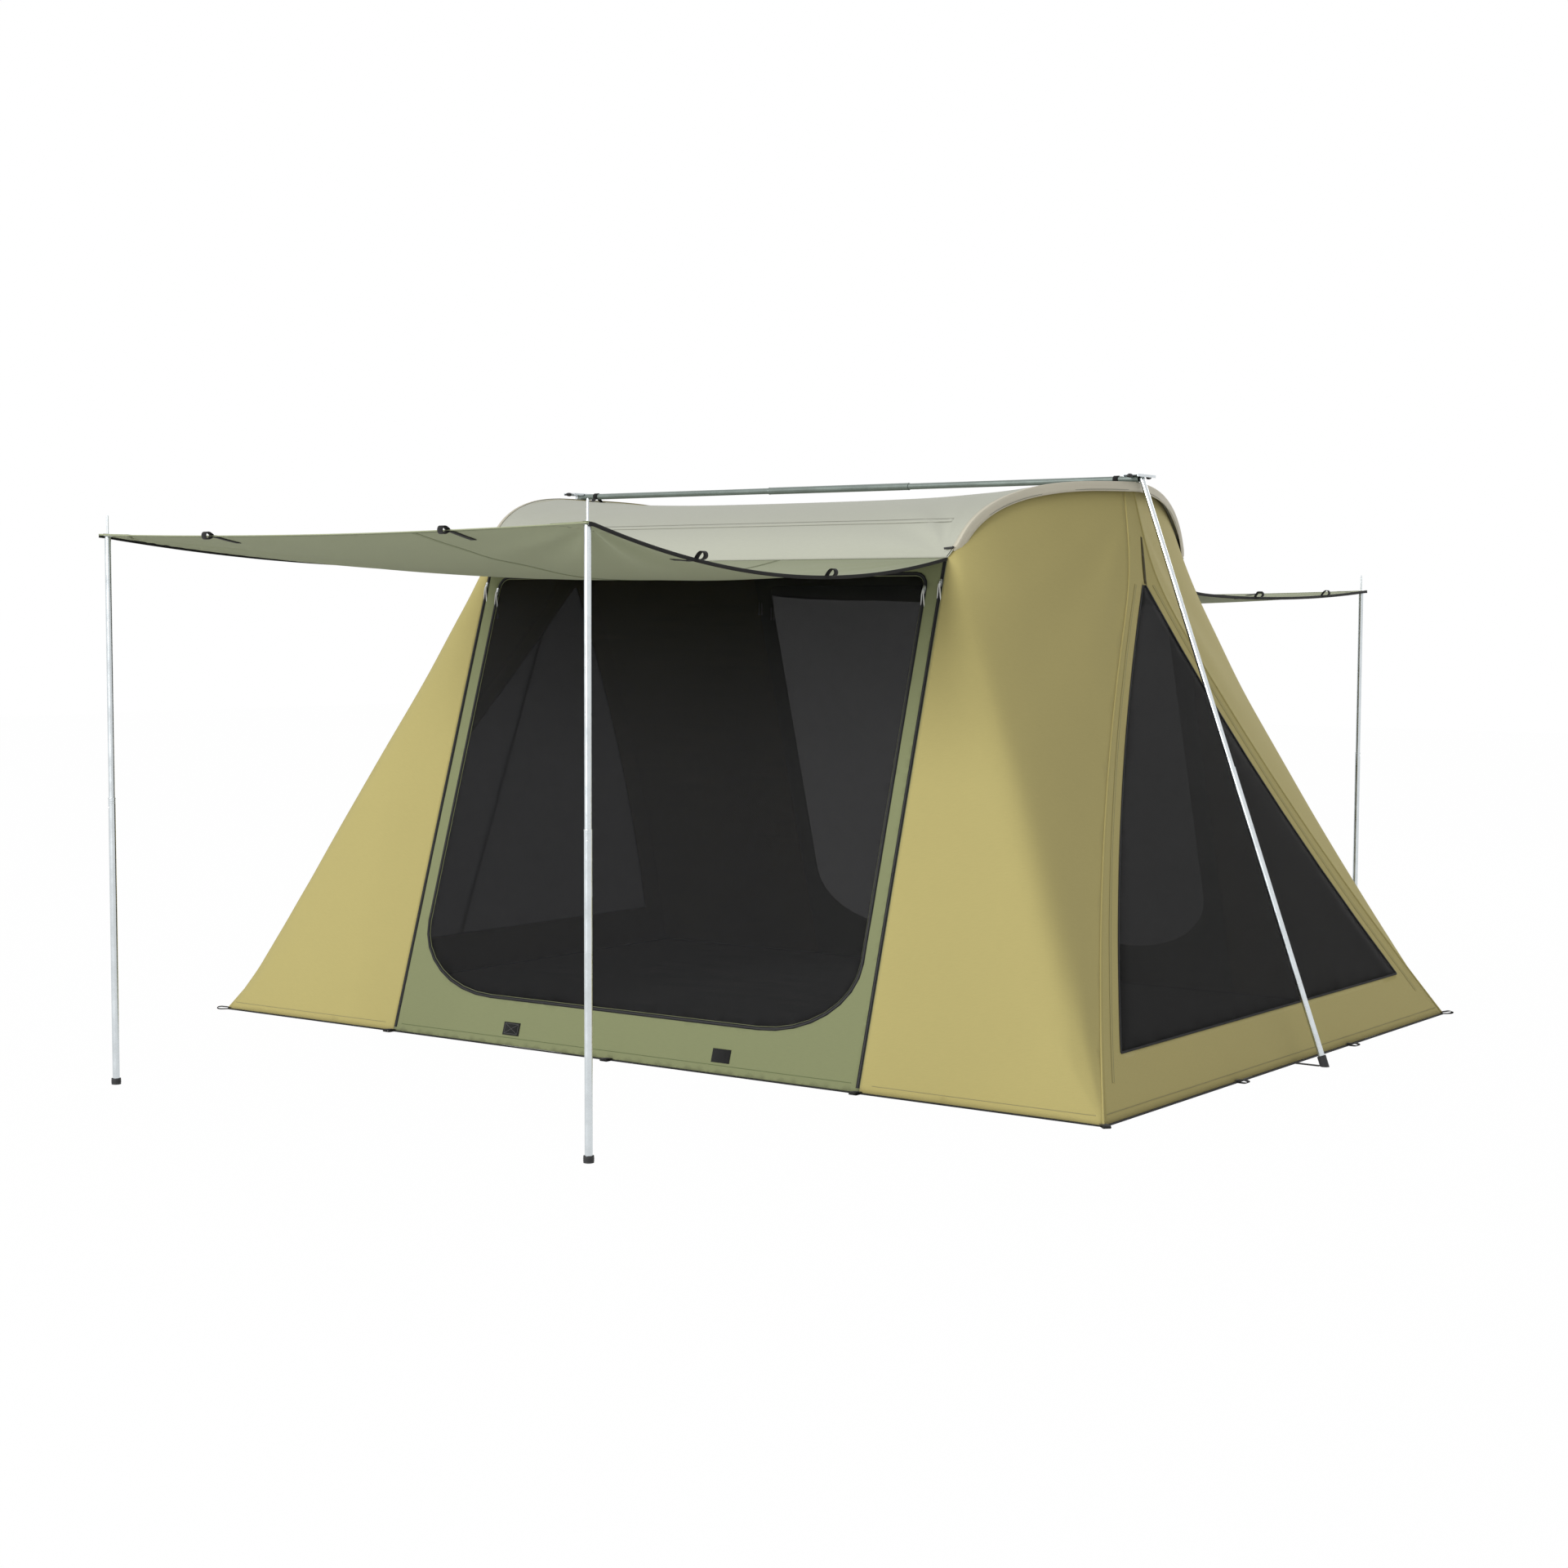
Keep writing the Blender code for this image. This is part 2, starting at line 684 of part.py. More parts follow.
def build_ridge():
    """Two ridge tubes that meet inside a sleeve, and a bracket over each outer end."""
    axis_z = ridge_height()
    outer = RIDGE_TUBE / 2
    inner = outer - TUBE_WALL
    bar_end = POLE_HEAD_X - END_POLE_LOWER / 2 - FIT
    for side, hand in ((-1, "left"), (1, "right")):
        run = bar_end - FIT / 2
        bm = turned([(inner, 0), (outer, 0), (outer, run), (inner, run)])
        aimed(bm, (FIT / 2 * side, 0, axis_z), (side, 0, 0))
        add_object(hand + "_ridge_tube", bm, "ridge_tube", smooth=True)
    hole = outer + FIT
    rim = RIDGE_SLEEVE / 2
    run = 2 * RIDGE_SLEEVE_HALF
    bm = turned([(hole, 0), (rim, 0), (rim, run), (hole, run)])
    aimed(bm, (-RIDGE_SLEEVE_HALF, 0, axis_z), (1, 0, 0))
    add_object("ridge_sleeve", bm, "ridge_tube", smooth=True)
    for side, hand in ((-1, "left"), (1, "right")):
        build_bracket(side, hand)


def build_bracket(side, hand):
    """An inverted channel that caps the bar's end and the pole's head."""
    under = ridge_height() + max(RIDGE_TUBE, END_POLE_LOWER) / 2 + FIT
    lip = BRACKET_LIP + BRACKET_WALL
    bm = box(BRACKET_WIDTH, BRACKET_LENGTH, lip)
    bmesh.ops.translate(bm, verts=bm.verts, vec=(0, -BRACKET_LENGTH / 2, 0))
    place = Vector((BRACKET_X * side, 0, under - BRACKET_LIP))
    bmesh.ops.translate(bm, verts=bm.verts, vec=place)
    bracket = add_object(hand + "_bracket", bm, "steel_tube")
    hollow = box(BRACKET_WIDTH - 2 * BRACKET_WALL, BRACKET_LENGTH * 1.5, 2 * BRACKET_LIP)
    bmesh.ops.translate(hollow, verts=hollow.verts, vec=(0, -BRACKET_LENGTH * 0.75, 0))
    bmesh.ops.translate(hollow, verts=hollow.verts, vec=place - Vector((0, 0, BRACKET_LIP)))
    cut(bracket, hollow, hand + "_channel_cutter")
    notch = box(BRACKET_WIDTH, RIDGE_TUBE + 4 * FIT, 2 * BRACKET_LIP)
    bmesh.ops.translate(notch, verts=notch.verts, vec=(0, -RIDGE_TUBE / 2 - 2 * FIT, 0))
    shift = Vector((-BRACKET_WIDTH / 2 * side, 0, -BRACKET_LIP))
    bmesh.ops.translate(notch, verts=notch.verts, vec=place + shift)
    cut(bracket, notch, hand + "_notch_cutter")


def cut(target, bm, name):
    """Takes a hidden cutter out of an object."""
    bmesh.ops.recalc_face_normals(bm, faces=bm.faces)
    mesh = bpy.data.meshes.new(name)
    bm.to_mesh(mesh)
    bm.free()
    cutter = bpy.data.objects.new(name, mesh)
    cutter.hide_render = True
    cutter.display_type = "WIRE"
    bpy.context.scene.collection.objects.link(cutter)
    cutter.parent = target
    cutter.matrix_parent_inverse = target.matrix_world.inverted()
    step = target.modifiers.new(name, "BOOLEAN")
    step.operation = "DIFFERENCE"
    step.solver = "EXACT"
    step.object = cutter
    return cutter


def dome(radius, count=4):
    """Outline points of a quarter circle, from the top of a dome down to its side."""
    turns = [math.pi / 2 * k / count for k in range(count + 1)]
    return [(radius * math.sin(t), radius * math.cos(t)) for t in turns]


def upper_tube(radius, length, spike):
    """A tube closed by a dome centred on the pivot, with a spike on top if asked."""
    bow = dome(radius)
    inner = radius - TUBE_WALL
    outline = []
    if spike:
        seat = math.sqrt(radius**2 - (spike / 2) ** 2)
        top = radius + SPIKE_LENGTH
        outline = [(0, top), (spike / 4, top), (spike / 2, top - spike), (spike / 2, seat)]
        bow = [p for p in bow if p[0] > spike / 2 + 1e-4]
    open_end = [(radius, -length), (inner, -length), (inner, -inner), (0, -inner)]
    return turned_solid(outline + bow + open_end)


def lower_tube(radius, bore, length):
    """A tube from z = 0 up, closed at its foot and open at its top."""
    floor = TUBE_FLOOR
    outline = [(0, 0), (radius, 0), (radius, length), (bore, length), (bore, floor), (0, floor)]
    return turned_solid(outline)


def build_end_poles():
    """The two poles outside the end walls, from the brackets down to their feet."""
    for side, hand in ((-1, "left"), (1, "right")):
        head = pole_head(side)
        foot = Vector(((FLOOR_LENGTH / 2 + END_POLE_FOOT_OUT) * side, 0, 0))
        down = (foot - head).normalized()
        length = (foot - head).length
        tilt = guide(hand + "_end_pole_axis", head)
        joint = length * END_POLE_JOINT
        shank = END_POLE_UPPER / 2
        bm = upper_tube(shank, joint + END_POLE_INSERT, 0.0)
        aimed(bm, head, -down)
        add_object(hand + "_end_pole_upper", bm, "steel_tube", head, tilt, True)
        end_gap = END_POLE_LOWER / 2
        run = length - joint - end_gap
        bore = shank + FIT
        bm = lower_tube(END_POLE_LOWER / 2, bore, run)
        aimed(bm, foot - down * end_gap, -down)
        add_object(hand + "_end_pole_lower", bm, "steel_tube", head, tilt, True)
        build_end_pole_foot(side, hand, foot, down, tilt, head, end_gap)


def build_end_pole_foot(side, hand, foot, down, tilt, head, end_gap):
    """A plastic shoe cut level with the ground, and the strap that ties it to the floor."""
    rim = END_POLE_SHOE / 2
    bore = END_POLE_LOWER / 2 + FIT
    top = end_gap + SHOE_HEIGHT
    outline = [(0, -rim), (rim, -rim), (rim, top), (bore, top), (bore, end_gap - FIT), (0, end_gap - FIT)]
    bm = turned_solid(outline)
    aimed(bm, foot, -down)
    every = bm.verts[:] + bm.edges[:] + bm.faces[:]
    bmesh.ops.bisect_plane(
        bm, geom=every, plane_co=(0, 0, 0), plane_no=(0, 0, 1), clear_inner=True,
    )
    bmesh.ops.holes_fill(bm, edges=bm.edges)
    add_object(hand + "_end_pole_foot", bm, "black_plastic", head, tilt)
    lean = Vector((down.x, down.z))
    shoe_in = abs(foot.x) - STRAP_THICK * abs(lean.x / lean.y) - rim / abs(down.z) - FIT
    near = FLOOR_LENGTH / 2 + CLOTH + FIT
    bm = box(shoe_in - near, STRAP_WIDTH, STRAP_THICK)
    middle = (shoe_in + near) / 2 * side
    bmesh.ops.translate(bm, verts=bm.verts, vec=(middle, -STRAP_WIDTH / 2, 0))
    add_object(hand + "_foot_strap", bm, "black_webbing")


def awning_hinge(side):
    """The line where an awning meets the eave, just outside the roof's lower edge."""
    eave = arch_point(0.0, EAVE_HEIGHT, EAVE_X)
    y = eave.y + CLOTH / 2 + FIT
    return Vector((0, y * side, EAVE_HEIGHT))


def awning_point(side, x_share, y):
    """The awning's sheet: x_share runs from -1 to 1 across, y is the reach from the eave."""
    start = awning_hinge(side)
    lift = FRONT_AWNING_LIFT if side < 0 else BACK_AWNING_LIFT
    drop = FRONT_ROOT_DROP if side < 0 else BACK_ROOT_DROP
    left_sag = FRONT_LEFT_SAG if side < 0 else BACK_SIDE_SAG
    right_sag = FRONT_RIGHT_SAG if side < 0 else BACK_SIDE_SAG
    sag = left_sag + (right_sag - left_sag) * (x_share + 1) / 2
    v = y / AWNING_REACH
    half = EAVE_X + (AWNING_HALF + AWNING_LAP - EAVE_X) * v
    across = 1 - x_share**2
    z = start.z + lift * v
    z -= drop * (1 - math.exp(-y / ROOT_RUN))
    z -= sag * 4 * v * (1 - v) * (1 if v < 1 else 0.2)
    z -= AWNING_EDGE_SAG * across * v
    z -= AWNING_BELLY * across * math.sin(math.pi * min(v, 1.0))
    return Vector((half * x_share, start.y + y * side, z))


def grommet(side_x, side):
    """Where a pole's spike passes through the awning, and the sheet's normal there."""
    half = EAVE_X + (AWNING_HALF + AWNING_LAP - EAVE_X)
    share = AWNING_HALF / half * side_x
    y = AWNING_REACH
    step = 0.01
    here = awning_point(side, share, y)
    along = here - awning_point(side, share, y - step)
    across = awning_point(side, share + step, y) - awning_point(side, share - step, y)
    normal = along.cross(across).normalized()
    if normal.z < 0:
        normal.negate()
    return here, normal


def pole_pivot(side_x, side):
    """The centre of the pole's domed head, which bears on the rim of the awning's grommet."""
    here, normal = grommet(side_x, side)
    rim = GROMMET_HOLE / 2
    tilt = math.sqrt(1 - normal.z**2) / normal.z
    drop = math.sqrt((POLE_UPPER / 2 + 2 * FIT) ** 2 - rim**2) + rim * tilt
    drop += CLOTH / 2 / normal.z
    return Vector((here.x, here.y, here.z - drop))


def build_awnings():
    for side, depth in ((-1, "front"), (1, "back")):
        hinge = awning_hinge(side)
        axis = guide(depth + "_awning_axis", hinge)
        shell = ClothShell()
        shares = []
        for k in range(AWNING_COLUMNS + 1):
            shares.append(math.sin(math.pi / 2 * (2 * k / AWNING_COLUMNS - 1)))
        rows = []
        reach = AWNING_REACH + AWNING_LAP
        runs = [0.0, *ROOT_ROWS] + [reach * j / AWNING_ROWS for j in range(1, AWNING_ROWS)]
        runs += [AWNING_REACH, reach]
        for y in runs:
            rows.append([awning_point(side, share, y) for share in shares])
        shell.grid("awning", rows, (0, 0, 1))
        bm = shell.solid("awning", shell.offsets(), 0.0)
        sheet = add_object(depth + "_awning", bm, "green_canvas", hinge, axis)
        for side_x, hand in ((-1, "left"), (1, "right")):
            pivot = pole_pivot(side_x, side)
            name = depth + "_" + hand
            rim, reach = GROMMET_HOLE / 2, GROMMET_CUT
            hole = turned_solid([(0, -reach), (rim, -reach), (rim, reach), (0, reach)], 12)
            bmesh.ops.translate(hole, verts=hole.verts, vec=pivot - hinge)
            cutter = cut(sheet, hole, name + "_grommet_cutter")
            cutter.matrix_parent_inverse = Matrix.Identity(4)
            build_awning_pole(name, pivot, axis)


def build_awning_pole(name, pivot, axis):
    """An upper tube that slides in a bored lower tube, on a plastic foot."""
    stand = guide(name + "_pole_axis", pivot - axis.location)
    stand.parent = axis
    shank = POLE_UPPER / 2
    run = pivot.z - POLE_JOINT_HEIGHT + POLE_INSERT
    bm = upper_tube(shank, run, SPIKE)
    bmesh.ops.translate(bm, verts=bm.verts, vec=pivot)
    hang(add_object(name + "_pole_upper", bm, "steel_tube", pivot, None, True), stand)
    base = POLE_FOOT_FLOOR + FIT
    bore = shank + POLE_BORE_GAP
    run = POLE_JOINT_HEIGHT - base
    bm = lower_tube(POLE_LOWER / 2, bore, run)
    bmesh.ops.translate(bm, verts=bm.verts, vec=(pivot.x, pivot.y, base))
    hang(add_object(name + "_pole_lower", bm, "steel_tube", pivot, None, True), stand)
    rim, hole = POLE_FOOT / 2, POLE_LOWER / 2 + FIT
    outline = [(0, 0), (rim, 0), (rim, POLE_FOOT_HEIGHT), (hole, POLE_FOOT_HEIGHT)]
    bm = turned_solid(outline + [(hole, POLE_FOOT_FLOOR), (0, POLE_FOOT_FLOOR)])
    bmesh.ops.translate(bm, verts=bm.verts, vec=(pivot.x, pivot.y, 0))
    hang(add_object(name + "_pole_foot", bm, "black_plastic", pivot, None), stand)


def hang(piece, stand):
    """Parents a piece to an empty that is itself on a moving axis, and keeps its place."""
    piece.parent = stand
    piece.location = (0, 0, 0)


def wall_out(side):
    """The outward direction of a front or back wall."""
    foot, up, rise = wall_frame(side)
    return Vector((0, up.z * side, -up.y * side))


def build_zips():
    """The four seam zips, the two door zips and the eight sliders with their cord pulls."""
    for side, depth in ((-1, "front"), (1, "back")):
        foot, up, rise = wall_frame(side)
        out = wall_out(side)
        for side_x, hand in ((-1, "left"), (1, "right")):
            low = Vector((SEAM_FOOT_X * side_x, foot.y, foot.z))
            along = (eave_corner(side_x, side) - low).normalized()
            inset = ZIP_WIDTH / 2 + ZIP_MARGIN
            start = low + out * (CLOTH / 2 + FIT) - Vector((inset * side_x, 0, 0))
            start += along * ZIP_END
            across = Vector((1, 0, 0)) * side
            run = (eave_corner(side_x, side) - low).length - 2 * ZIP_END
            bm = framed(box(ZIP_WIDTH, ZIP_THICK, run), start, along, across)
            add_object(f"{depth}_{hand}_seam_zip", bm, "black_webbing")
            rest = start + along * (run - SLIDER_DROP) + out * (ZIP_THICK + FIT)
            build_slider(f"{depth}_{hand}_seam_slider", rest, along, out)
            build_door_slider(side, depth, side_x, hand)
        build_door_zip(side, depth)


def build_door_zip(side, depth):
    """A flat band round the door's opening, on the wall's outer face."""
    foot, up, rise = wall_frame(side)
    out = wall_out(side)
    inner = door_outline(-ZIP_MARGIN)
    outer = door_outline(-ZIP_MARGIN - ZIP_WIDTH)
    bm = bmesh.new()
    layers = []
    for level in (CLOTH / 2 + FIT, CLOTH / 2 + FIT + ZIP_THICK):
        for loop in (inner, outer):
            ring = []
            for u, v in loop:
                place = Vector((u, foot.y, foot.z)) + up * v + out * level
                ring.append(bm.verts.new(place))
            layers.append(ring)
    low_in, low_out, high_in, high_out = layers
    for first, second in ((low_in, low_out), (low_out, high_out), (high_out, high_in), (high_in, low_in)):
        count = len(first)
        for k in range(count):
            n = (k + 1) % count
            bm.faces.new((first[k], first[n], second[n], second[k]))
    add_object(depth + "_door_zip", bm, "black_webbing")


def build_door_slider(side, depth, side_x, hand):
    """A slider on the straight side of a door zip, near its top corner."""
    foot, up, rise = wall_frame(side)
    out = wall_out(side)
    outline = door_outline(-ZIP_MARGIN - ZIP_WIDTH / 2)
    right = [p for p in outline if p[0] > 0]
    low = max((p for p in right if p[1] < rise / 2), key=lambda p: p[0])
    high = max((p for p in right if p[1] > rise / 2), key=lambda p: p[0])
    ends = []
    for u, v in (low, high):
        ends.append(Vector((u * side_x, foot.y, foot.z)) + up * v)
    along = (ends[1] - ends[0]).normalized()
    rest = ends[1] + out * (CLOTH / 2 + 2 * FIT + ZIP_THICK) - along * SLIDER_LENGTH
    build_slider(f"{depth}_{hand}_door_slider", rest, along, out)


def build_slider(name, rest, along, out):
    """A slider body with the knotted cord pull that hangs from it."""
    cord, knot, body = PULL_CORD / 2, PULL_CORD, SLIDER_WIDTH / 2
    outline = [(0, -PULL_LENGTH), (knot, -PULL_LENGTH + knot), (knot, -PULL_LENGTH + 4 * knot)]
    outline += [(cord, -PULL_LENGTH + 5 * knot), (cord, -body), (body, 0)]
    outline += [(body, SLIDER_LENGTH - body), (0, SLIDER_LENGTH)]
    bm = turned_solid(outline, 8)
    aimed(bm, rest + out * body, along)
    add_object(name, bm, "white_cord", rest + out * body)


def main():
    clear_scene()
    build_walls()
    build_roof()
    build_floor()
    build_rods()
    build_ridge()
    build_end_poles()
    build_awnings()
    build_zips()


main()
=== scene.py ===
import json
import math
import bmesh
import bpy
import numpy as np
from mathutils import Matrix, Vector, noise
from mathutils.bvhtree import BVHTree
from mathutils.kdtree import KDTree


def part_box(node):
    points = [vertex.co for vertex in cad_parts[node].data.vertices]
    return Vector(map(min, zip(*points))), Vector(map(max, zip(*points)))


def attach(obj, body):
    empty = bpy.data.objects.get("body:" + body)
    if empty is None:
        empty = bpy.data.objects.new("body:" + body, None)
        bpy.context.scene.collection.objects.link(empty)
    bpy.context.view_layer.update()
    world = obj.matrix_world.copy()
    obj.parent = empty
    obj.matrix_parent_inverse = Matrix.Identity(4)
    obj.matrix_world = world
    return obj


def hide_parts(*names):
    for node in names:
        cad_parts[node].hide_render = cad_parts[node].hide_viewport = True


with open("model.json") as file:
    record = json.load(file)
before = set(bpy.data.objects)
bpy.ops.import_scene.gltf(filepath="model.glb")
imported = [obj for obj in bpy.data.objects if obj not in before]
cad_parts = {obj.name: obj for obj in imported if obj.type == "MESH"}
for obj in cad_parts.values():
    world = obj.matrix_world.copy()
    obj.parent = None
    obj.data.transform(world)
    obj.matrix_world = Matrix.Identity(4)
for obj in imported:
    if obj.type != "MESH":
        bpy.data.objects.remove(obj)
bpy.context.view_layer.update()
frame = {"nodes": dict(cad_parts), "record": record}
cad = frame["nodes"]
sides = (("front", -1), ("back", 1))
hands = (("left", -1), ("right", 1))
quarters = [(depth, hand, depth + hand.title(), sx, sy) for depth, sy in sides for hand, sx in hands]
print("frame loaded:", len(cad), "nodes")


def at(x=0.0, y=0.0, z=0.0):
    return Vector((x, y, z))


def plainPiece(bm, name):
    mesh = bpy.data.meshes.new(name)
    bm.to_mesh(mesh)
    bm.free()
    made = bpy.data.objects.new(name, mesh)
    bpy.context.scene.collection.objects.link(made)
    return made


sky = at(z=1.0)

# camera, placed where the picture was made
view = {"place": (6.116, -8.927, 1.682), "yaw": -0.621, "pitch": 0.074, "roll": 0.004, "farEnd": 200,
        "focalPixels": 3088.6, "centre": (961.4, 989.9), "picture": 1920, "sensor": 36}
lights = {"key": {"place": (-1.2, -12.2, 4.4), "aim": (0, 0, 0.9), "size": 4.0, "power": 860},
          "fill": {"place": (9.0, -3.5, 4.5), "aim": (0, 0, 1.0), "size": 6.0, "power": 30},
          "rear": {"place": (1.0, 8.0, 6.0), "aim": (0, 0, 1.0), "size": 6.0, "power": 260}}
studio = {"worldLevel": 0.50, "floorSize": 60.0, "floorDrop": 0.002, "floorColour": (0.80, 0.80, 0.80),
          "floorRoughness": 0.9, "floorShow": 0.99}


def makeCamera(c):
    cosPitch = math.cos(c["pitch"])
    ahead = at(math.sin(c["yaw"]) * cosPitch, math.cos(c["yaw"]) * cosPitch, -math.sin(c["pitch"]))
    level = at(math.cos(c["yaw"]), -math.sin(c["yaw"]))
    over = level.cross(ahead)
    right = level * math.cos(c["roll"]) + over * math.sin(c["roll"])
    up = over * math.cos(c["roll"]) - level * math.sin(c["roll"])
    lens = bpy.data.cameras.new("photoCamera")
    lens.sensor_width = c["sensor"]
    lens.lens = c["focalPixels"] * c["sensor"] / c["picture"]
    lens.shift_x = (c["picture"] / 2 - c["centre"][0]) / c["picture"]
    lens.shift_y = (c["centre"][1] - c["picture"] / 2) / c["picture"]
    lens.clip_end = c["farEnd"]
    camera = bpy.data.objects.new("photoCamera", lens)
    bpy.context.scene.collection.objects.link(camera)
    camera.matrix_world = Matrix.Translation(c["place"]) @ Matrix((right, up, -ahead)).transposed().to_4x4()
    bpy.context.scene.camera = camera


def makeLights(lamps):
    for name, c in lamps.items():
        lamp = bpy.data.lights.new(name, "AREA")
        lamp.shape = "DISK"
        lamp.size = c["size"]
        lamp.energy = c["power"]
        item = bpy.data.objects.new(name, lamp)
        item.location = c["place"]
        item.rotation_mode = "QUATERNION"
        item.rotation_quaternion = (Vector(c["aim"]) - Vector(c["place"])).to_track_quat("-Z", "Y")
        bpy.context.scene.collection.objects.link(item)


# small helpers for node trees
def put(tree, kind, inputs=None, **settings):
    made = tree.nodes.new(kind)
    for key, value in settings.items():
        setattr(made, key, value)
    for key, value in (inputs or {}).items():
        if isinstance(value, bpy.types.NodeSocket):
            tree.links.new(value, made.inputs[key])
        else:
            made.inputs[key].default_value = value
    return made


def maths(tree, operation, a, b=0.0, clamp=False):
    return put(tree, "ShaderNodeMath", {0: a, 1: b}, operation=operation, use_clamp=clamp).outputs[0]


def mapped(tree, value, low, high, fromLow=0.0, fromHigh=1.0):
    inputs = {"Value": value, "From Min": fromLow, "From Max": fromHigh, "To Min": low, "To Max": high}
    return put(tree, "ShaderNodeMapRange", inputs).outputs[0]


def backdropRays(tree):
    path = put(tree, "ShaderNodeLightPath")
    bounced = maths(tree, "MAXIMUM", path.outputs["Is Glossy Ray"], path.outputs["Is Transmission Ray"])
    return maths(tree, "MAXIMUM", path.outputs["Is Camera Ray"], bounced)


def makeWorld(c):
    world = bpy.data.worlds.new("studio")
    bpy.context.scene.world = world
    world.use_nodes = True
    tree = world.node_tree
    plain = tree.nodes["Background"]
    plain.inputs["Color"].default_value = (1, 1, 1, 1)
    plain.inputs["Strength"].default_value = c["worldLevel"]
    white = put(tree, "ShaderNodeBackground", {"Color": (1, 1, 1, 1), "Strength": 1.0})
    mix = put(tree, "ShaderNodeMixShader", {0: backdropRays(tree), 1: plain.outputs[0], 2: white.outputs[0]})
    tree.links.new(mix.outputs[0], tree.nodes["World Output"].inputs["Surface"])


def makeFloor(c):
    bm = bmesh.new()
    bmesh.ops.create_grid(bm, x_segments=1, y_segments=1, size=c["floorSize"] / 2)
    bmesh.ops.translate(bm, verts=bm.verts, vec=(0, 0, -c["floorDrop"]))
    floor = plainPiece(bm, "studioFloor")
    paint = bpy.data.materials.new("floorWhite")
    paint.use_nodes = True
    tree = paint.node_tree
    shader = tree.nodes["Principled BSDF"]
    shader.inputs["Base Color"].default_value = (*c["floorColour"], 1)
    shader.inputs["Roughness"].default_value = c["floorRoughness"]
    shader.inputs["Specular IOR Level"].default_value = 0.0
    glow = put(tree, "ShaderNodeEmission", {"Color": (1, 1, 1, 1), "Strength": 1.0})
    share = maths(tree, "MULTIPLY", backdropRays(tree), c["floorShow"])
    mix = put(tree, "ShaderNodeMixShader", {0: share, 1: shader.outputs[0], 2: glow.outputs[0]})
    tree.links.new(mix.outputs[0], tree.nodes["Material Output"].inputs["Surface"])
    floor.data.materials.append(paint)


bpy.context.scene.view_settings.view_transform = "Standard"
makeCamera(view)
makeLights(lights)
makeWorld(studio)
makeFloor(studio)
print("camera, lights and floor made")


# shader groups that several finishes share: each takes a place and gives its first output, roughness, height
def startGroup(name, first, inputs):
    tree = bpy.data.node_groups.new(name, "ShaderNodeTree")
    tree.interface.new_socket("Vector", in_out="INPUT", socket_type="NodeSocketVector")

    def socket(label, way):
        kind = "NodeSocketColor" if label == "Color" else "NodeSocketFloat"
        return tree.interface.new_socket(label, in_out=way, socket_type=kind)

    for label, value in inputs.items():
        socket(label, "INPUT").default_value = value
    for label in (first, "Roughness", "Height"):
        socket(label, "OUTPUT")
    return tree, put(tree, "NodeGroupInput").outputs, put(tree, "NodeGroupOutput").inputs


def deliver(tree, result, **values):
    for label, value in values.items():
        tree.links.new(value, result[label])
    return tree


def shaded(tree, colour, factor):
    return put(tree, "ShaderNodeVectorMath", {0: colour, "Scale": factor}, operation="SCALE").outputs[0]


def cloudy(tree, where, scale, detail, stretch=None, **more):
    if stretch:
        where = put(tree, "ShaderNodeMapping", {"Vector": where, "Scale": stretch}).outputs[0]
    inputs = {"Vector": where, "Scale": scale, "Detail": detail, **more}
    return put(tree, "ShaderNodeTexNoise", inputs).outputs["Fac"]


def swing(tree, value, amount):
    # a texture's rise and fall about zero
    return maths(tree, "MULTIPLY", maths(tree, "SUBTRACT", value, 0.5), amount)


def threadLines(tree, inputs):
    rows = [put(tree, "ShaderNodeTexWave", inputs, bands_direction=way).outputs["Fac"] for way in ("X", "Y")]
    return maths(tree, "MAXIMUM", *rows)


def makeWeaveGroup():
    inputs = {"Color": (0.5, 0.5, 0.5, 1), "Threads": 260.0, "Cloud": 0.05, "Speckle": 0.08}
    tree, given, result = startGroup("canvasWeave", "Color", inputs)
    where = given["Vector"]
    weave = threadLines(tree, {"Vector": where, "Scale": given["Threads"], "Distortion": 0.6, "Detail": 1.0,
                               "Detail Scale": 0.02})
    cloud = cloudy(tree, where, 2.2, 4.0, Roughness=0.55)
    slub = cloudy(tree, where, 1.0, 2.0, stretch=(35.0, 420.0, 35.0))
    grain = cloudy(tree, where, 700.0, 1.0)
    soft = maths(tree, "ADD", swing(tree, cloud, given["Cloud"]), swing(tree, slub, given["Speckle"]))
    total = maths(tree, "ADD", soft, maths(tree, "ADD", swing(tree, grain, given["Speckle"]), 1.0))
    factor = maths(tree, "MULTIPLY", total, mapped(tree, weave, 0.955, 1.0))
    return deliver(tree, result, Color=shaded(tree, given["Color"], factor),
                   Roughness=mapped(tree, cloud, 0.80, 0.94),
                   Height=maths(tree, "ADD", weave, maths(tree, "MULTIPLY", slub, 0.6)))


def makeNetGroup():
    tree, given, result = startGroup("flyNet", "Alpha", {"Pitch": 150.0, "Cover": 0.55})
    where = given["Vector"]
    cross = threadLines(tree, {"Vector": where, "Scale": given["Pitch"], "Distortion": 0.2, "Detail": 0.0})
    streak = cloudy(tree, where, 1.0, 3.0, stretch=(3.0, 60.0, 3.0))
    drift = maths(tree, "ADD", mapped(tree, cross, -0.05, 0.05), mapped(tree, streak, -0.03, 0.03))
    return deliver(tree, result, Alpha=maths(tree, "ADD", given["Cover"], drift, clamp=True),
                   Roughness=mapped(tree, cross, 0.9, 0.7), Height=cross)


